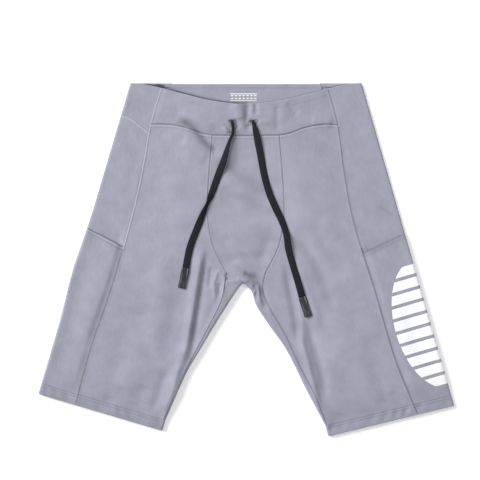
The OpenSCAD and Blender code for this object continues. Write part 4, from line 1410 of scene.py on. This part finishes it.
def thigh_pad(s):
    """A foam pad with round corners and edges and pressed-in dimples."""
    nu, nv = int(PAD_W / 1.5) + 1, int(PAD_L / 1.5) + 1
    U, V = np.meshgrid(np.linspace(-PAD_W / 2, PAD_W / 2, nu), np.linspace(-PAD_L / 2, PAD_L / 2, nv))
    # The square grid is pulled in so that its outline has round corners.
    past_u = np.clip(np.abs(U) - (PAD_W / 2 - PAD_CORNER), 0, None)
    past_v = np.clip(np.abs(V) - (PAD_L / 2 - PAD_CORNER), 0, None)
    far = np.hypot(past_u, past_v)
    past = np.maximum(np.maximum(past_u, past_v), 1e-6)
    scale = np.where(far > 0, past / np.maximum(far, 1e-6), 1)
    u = np.sign(U) * (np.abs(U) - past_u + past_u * scale)
    v = PAD_L / 2 + np.sign(V) * (np.abs(V) - past_v + past_v * scale)
    edge = np.minimum(PAD_W / 2 - np.abs(U), PAD_L / 2 - np.abs(V))
    edge = np.maximum(np.minimum(edge, PAD_CORNER - np.where(far > 0, past, 0)), 0)
    half = PAD_T / 2 * rounded(edge / (PAD_T / 2)) - dimples(u, v, 1.5) * (edge > 3) * PAD_T * 0.36
    # At the rim both faces meet: a thin wall keeps the mesh closed.
    half = np.maximum(half, 0.05)
    xy = leg(s, MOUTH_DOWN[s] + MOUTH_SLANT + 20 + v, PAD_MIDDLE[s] + u)
    middle = PAD_Z + PAD_T / 2
    verts = np.vstack([raised(xy, middle + half).reshape(-1, 3), raised(xy, middle - half).reshape(-1, 3)])
    k = nu * nv
    at = np.arange(k).reshape(nv, nu)
    top = np.stack([at[:-1, :-1], at[:-1, 1:], at[1:, 1:], at[1:, :-1]], -1).reshape(-1, 4)
    border = np.array([*at[0, :], *at[1:, -1], *at[-1, -2::-1], *at[-2:0:-1, 0]])
    after = np.roll(border, -1)
    faces = np.vstack([top, top[:, ::-1] + k, np.stack([after, border, border + k, after + k], -1)])
    obj = mesh_object(f"{SIDES[s]}_thigh_pad_foam", verts, faces, sharp=60)
    mesh = bmesh.new()
    mesh.from_mesh(obj.data)
    bmesh.ops.recalc_face_normals(mesh, faces=mesh.faces)
    mesh.to_mesh(obj.data)
    mesh.free()
    add_piece(obj, f"{SIDES[s]}_pad", foam, [f"{SIDES[s]}_thigh_pad"])


for s in SIDES:
    thigh_pad(s)

# The tailbone pad's top and foot, measured down from the waist.
TAIL_TOP, TAIL_FOOT = 96, 206


def tail_half_width(down):
    """Half the width of the tailbone pad, from the waist down."""
    line = spline([(96, 40), (108, 52), (146, 50), (194, 30), (206, 18)], 6)
    return np.interp(down, line[:, 0], line[:, 1])


def tail_place(s, u, v, more=0.0):
    """u runs from 0 at the centre seam to 1 at the side, v from 0 at the top to 1 at the foot."""
    down = TAIL_TOP - more + v * (TAIL_FOOT - TAIL_TOP + 2 * more)
    w = tail_half_width(np.clip(down, TAIL_TOP, TAIL_FOOT)) + more
    return np.stack([s * (0.4 + (w - 0.4) * u), -down - MIDDLE[1]], -1)


U, V = np.meshgrid(np.linspace(0, 1, 34), np.linspace(0, 1, 72))
for s, side in SIDES.items():
    xy = tail_place(s, U, V)
    edge = np.minimum(np.minimum(V, 1 - V) * 110, (1 - U) * 50)
    dimple = dimples(xy[..., 0], xy[..., 1], 1.6) * (edge > 3)
    P = raised(xy, 2.5 + np.maximum(1.35 * rounded(edge / 1.6), 0.05) - 0.9 * dimple)
    pad = shell(f"{side}_tailbone_pad_foam", P, np.maximum(2.7 * rounded(edge / 1.6), 0.1) - 1.2 * dimple)
    add_piece(pad, f"{side}_half", foam, [f"{side}_tailbone_pad"])

    xy = tail_place(s, U * 0.999, V, more=8.0)
    edge = np.minimum(np.minimum(V, 1 - V) * 126, (1 - U) * 58)
    crown = smooth((edge - 1.5) / 8)
    P = raised(xy, 1.45 + 3.35 * crown + 0.15 * wavy(xy[..., 0], xy[..., 1], 22, 51) * crown)
    sleeve = shell(f"{side}_tailbone_sleeve_cloth", P, 0.45)
    add_piece(sleeve, "fold", lining_cloth, [f"{side}_tailbone_sleeve"])

# ---------------------------------------------------------------- stitching


def pocket_top(s):
    """The surface that stitches on a pocket lie on."""
    return lambda p: pocket_height(s, *leg_place(s, p[:, 0], p[:, 1]), p[:, 0], p[:, 1])


FINE = {"pitch": 2.8, "length": 2.3}
for s, side in SIDES.items():
    half = f"{side}_half"
    # side, pouch and gusset seams: a needle line on each side of the seam
    side_line = side_seam(s, BAND_DOWN + 2, OUTSEAM[s] - HEM_H - 2, 0, 120)
    pouch_line = along(pouch_seam(s), np.linspace(0.01, 0.99, 90))
    gusset_line = along(gusset_seam(s), np.linspace(0.02, 0.985, 90))
    for line, off, size in ((side_line, 1.7, {}), (pouch_line, 1.8, FINE), (gusset_line, 1.6, {})):
        for offset in (off, -off):
            add_stitches(half, line, top_of, offset=offset, **size)
    for up in (HEM_H - 1.2, HEM_H - 4.2):
        add_stitches(half, hem_place(s, up, np.linspace(3, HEM_W - 4, 100)), top_of, **FINE)
    # waistband: below and above its seam, and below its top edge
    lower = along(join(band_seam(s), band_centre(s)[1:]), np.linspace(0.02, 0.985, 100))
    upper = along(front_edge(s), np.linspace(0.02, 0.985, 100))
    for line, above, cloth in ((lower, -2.2, top_of), (lower, 2.6, band_top), (lower, 5.4, band_top),
                               (upper, -9.0, band_top)):
        add_stitches(half, line + [0, above], cloth)
    ins = np.linspace(3.5, float(side_in(s, MOUTH_DOWN[s])) - 3, 60)
    for below in (3.0, 6.0):
        down = MOUTH_DOWN[s] + MOUTH_SLANT * ins / side_in(s, MOUTH_DOWN[s]) + below
        add_stitches(half, leg(s, down, ins), pocket_top(s), **FINE)
    # the turned edge inside the back waistband
    xs = np.linspace(s * 2, float(band_side_x(s, WAIST_Y)) * 0.985, 60)
    inside_line = np.stack([xs, np.full(60, WAIST_Y - TURN_IN + 1.4)], -1)
    add_stitches(half, inside_line, lambda p: np.full(len(p), TURN_Z + REST))

for where, parts in STITCHES.items():
    centres, directions = (np.concatenate([part[i] for part in parts]) for i in range(2))
    stitch_mesh(f"{where}_stitches", centres, directions, 2.4, THREAD, where)

# ---------------------------------------------------------------- floor and light

floor_mat, floor_tree, floor_bsdf, floor_place = surface("pale_floor", "Object")
floor_tone = ramp(floor_tree, noise(floor_tree, floor_place, 400.0),
                  [(0.3, (0.950, 0.950, 0.955)), (0.7, (0.965, 0.965, 0.97))])
finish(floor_tree, floor_bsdf, {"Base Color": floor_tone, "Roughness": 0.9,
                                "Emission Color": (1, 1, 1, 1), "Emission Strength": 0.25})
# A hair below the cloth, and wide enough to fill every view.
FLOOR_HALF, FLOOR_Z = 3000, -0.4
corners = [(x * FLOOR_HALF, y * FLOOR_HALF, FLOOR_Z) for x, y in ((-1, -1), (1, -1), (1, 1), (-1, 1))]
floor = mesh_object("floor", corners, [(0, 1, 2, 3)])
floor.data.materials.append(floor_mat)


def area_light(name, place_at, aim, size, power):
    data = bpy.data.lights.new(name, "AREA")
    data.shape, data.size, data.energy = "DISK", size, power
    light = bpy.data.objects.new(name, data)
    light.location = place_at
    light.rotation_euler = (Vector(aim) - Vector(place_at)).to_track_quat("-Z", "Y").to_euler()
    bpy.context.collection.objects.link(light)


area_light("overhead", (0.9, 0.1, 2.8), (0.1, 0, 0), 2.6, 25)
area_light("upper_left", (-4.4, 2.9, 4.4), (0, 0, 0), 4.2, 578)
world = bpy.data.worlds.new("surroundings")
world.use_nodes = True
background = world.node_tree.nodes["Background"]
background.inputs["Color"].default_value = (1, 1, 1, 1)
background.inputs["Strength"].default_value = 0.24
bpy.context.scene.world = world
bpy.context.scene.view_settings.view_transform = "Standard"
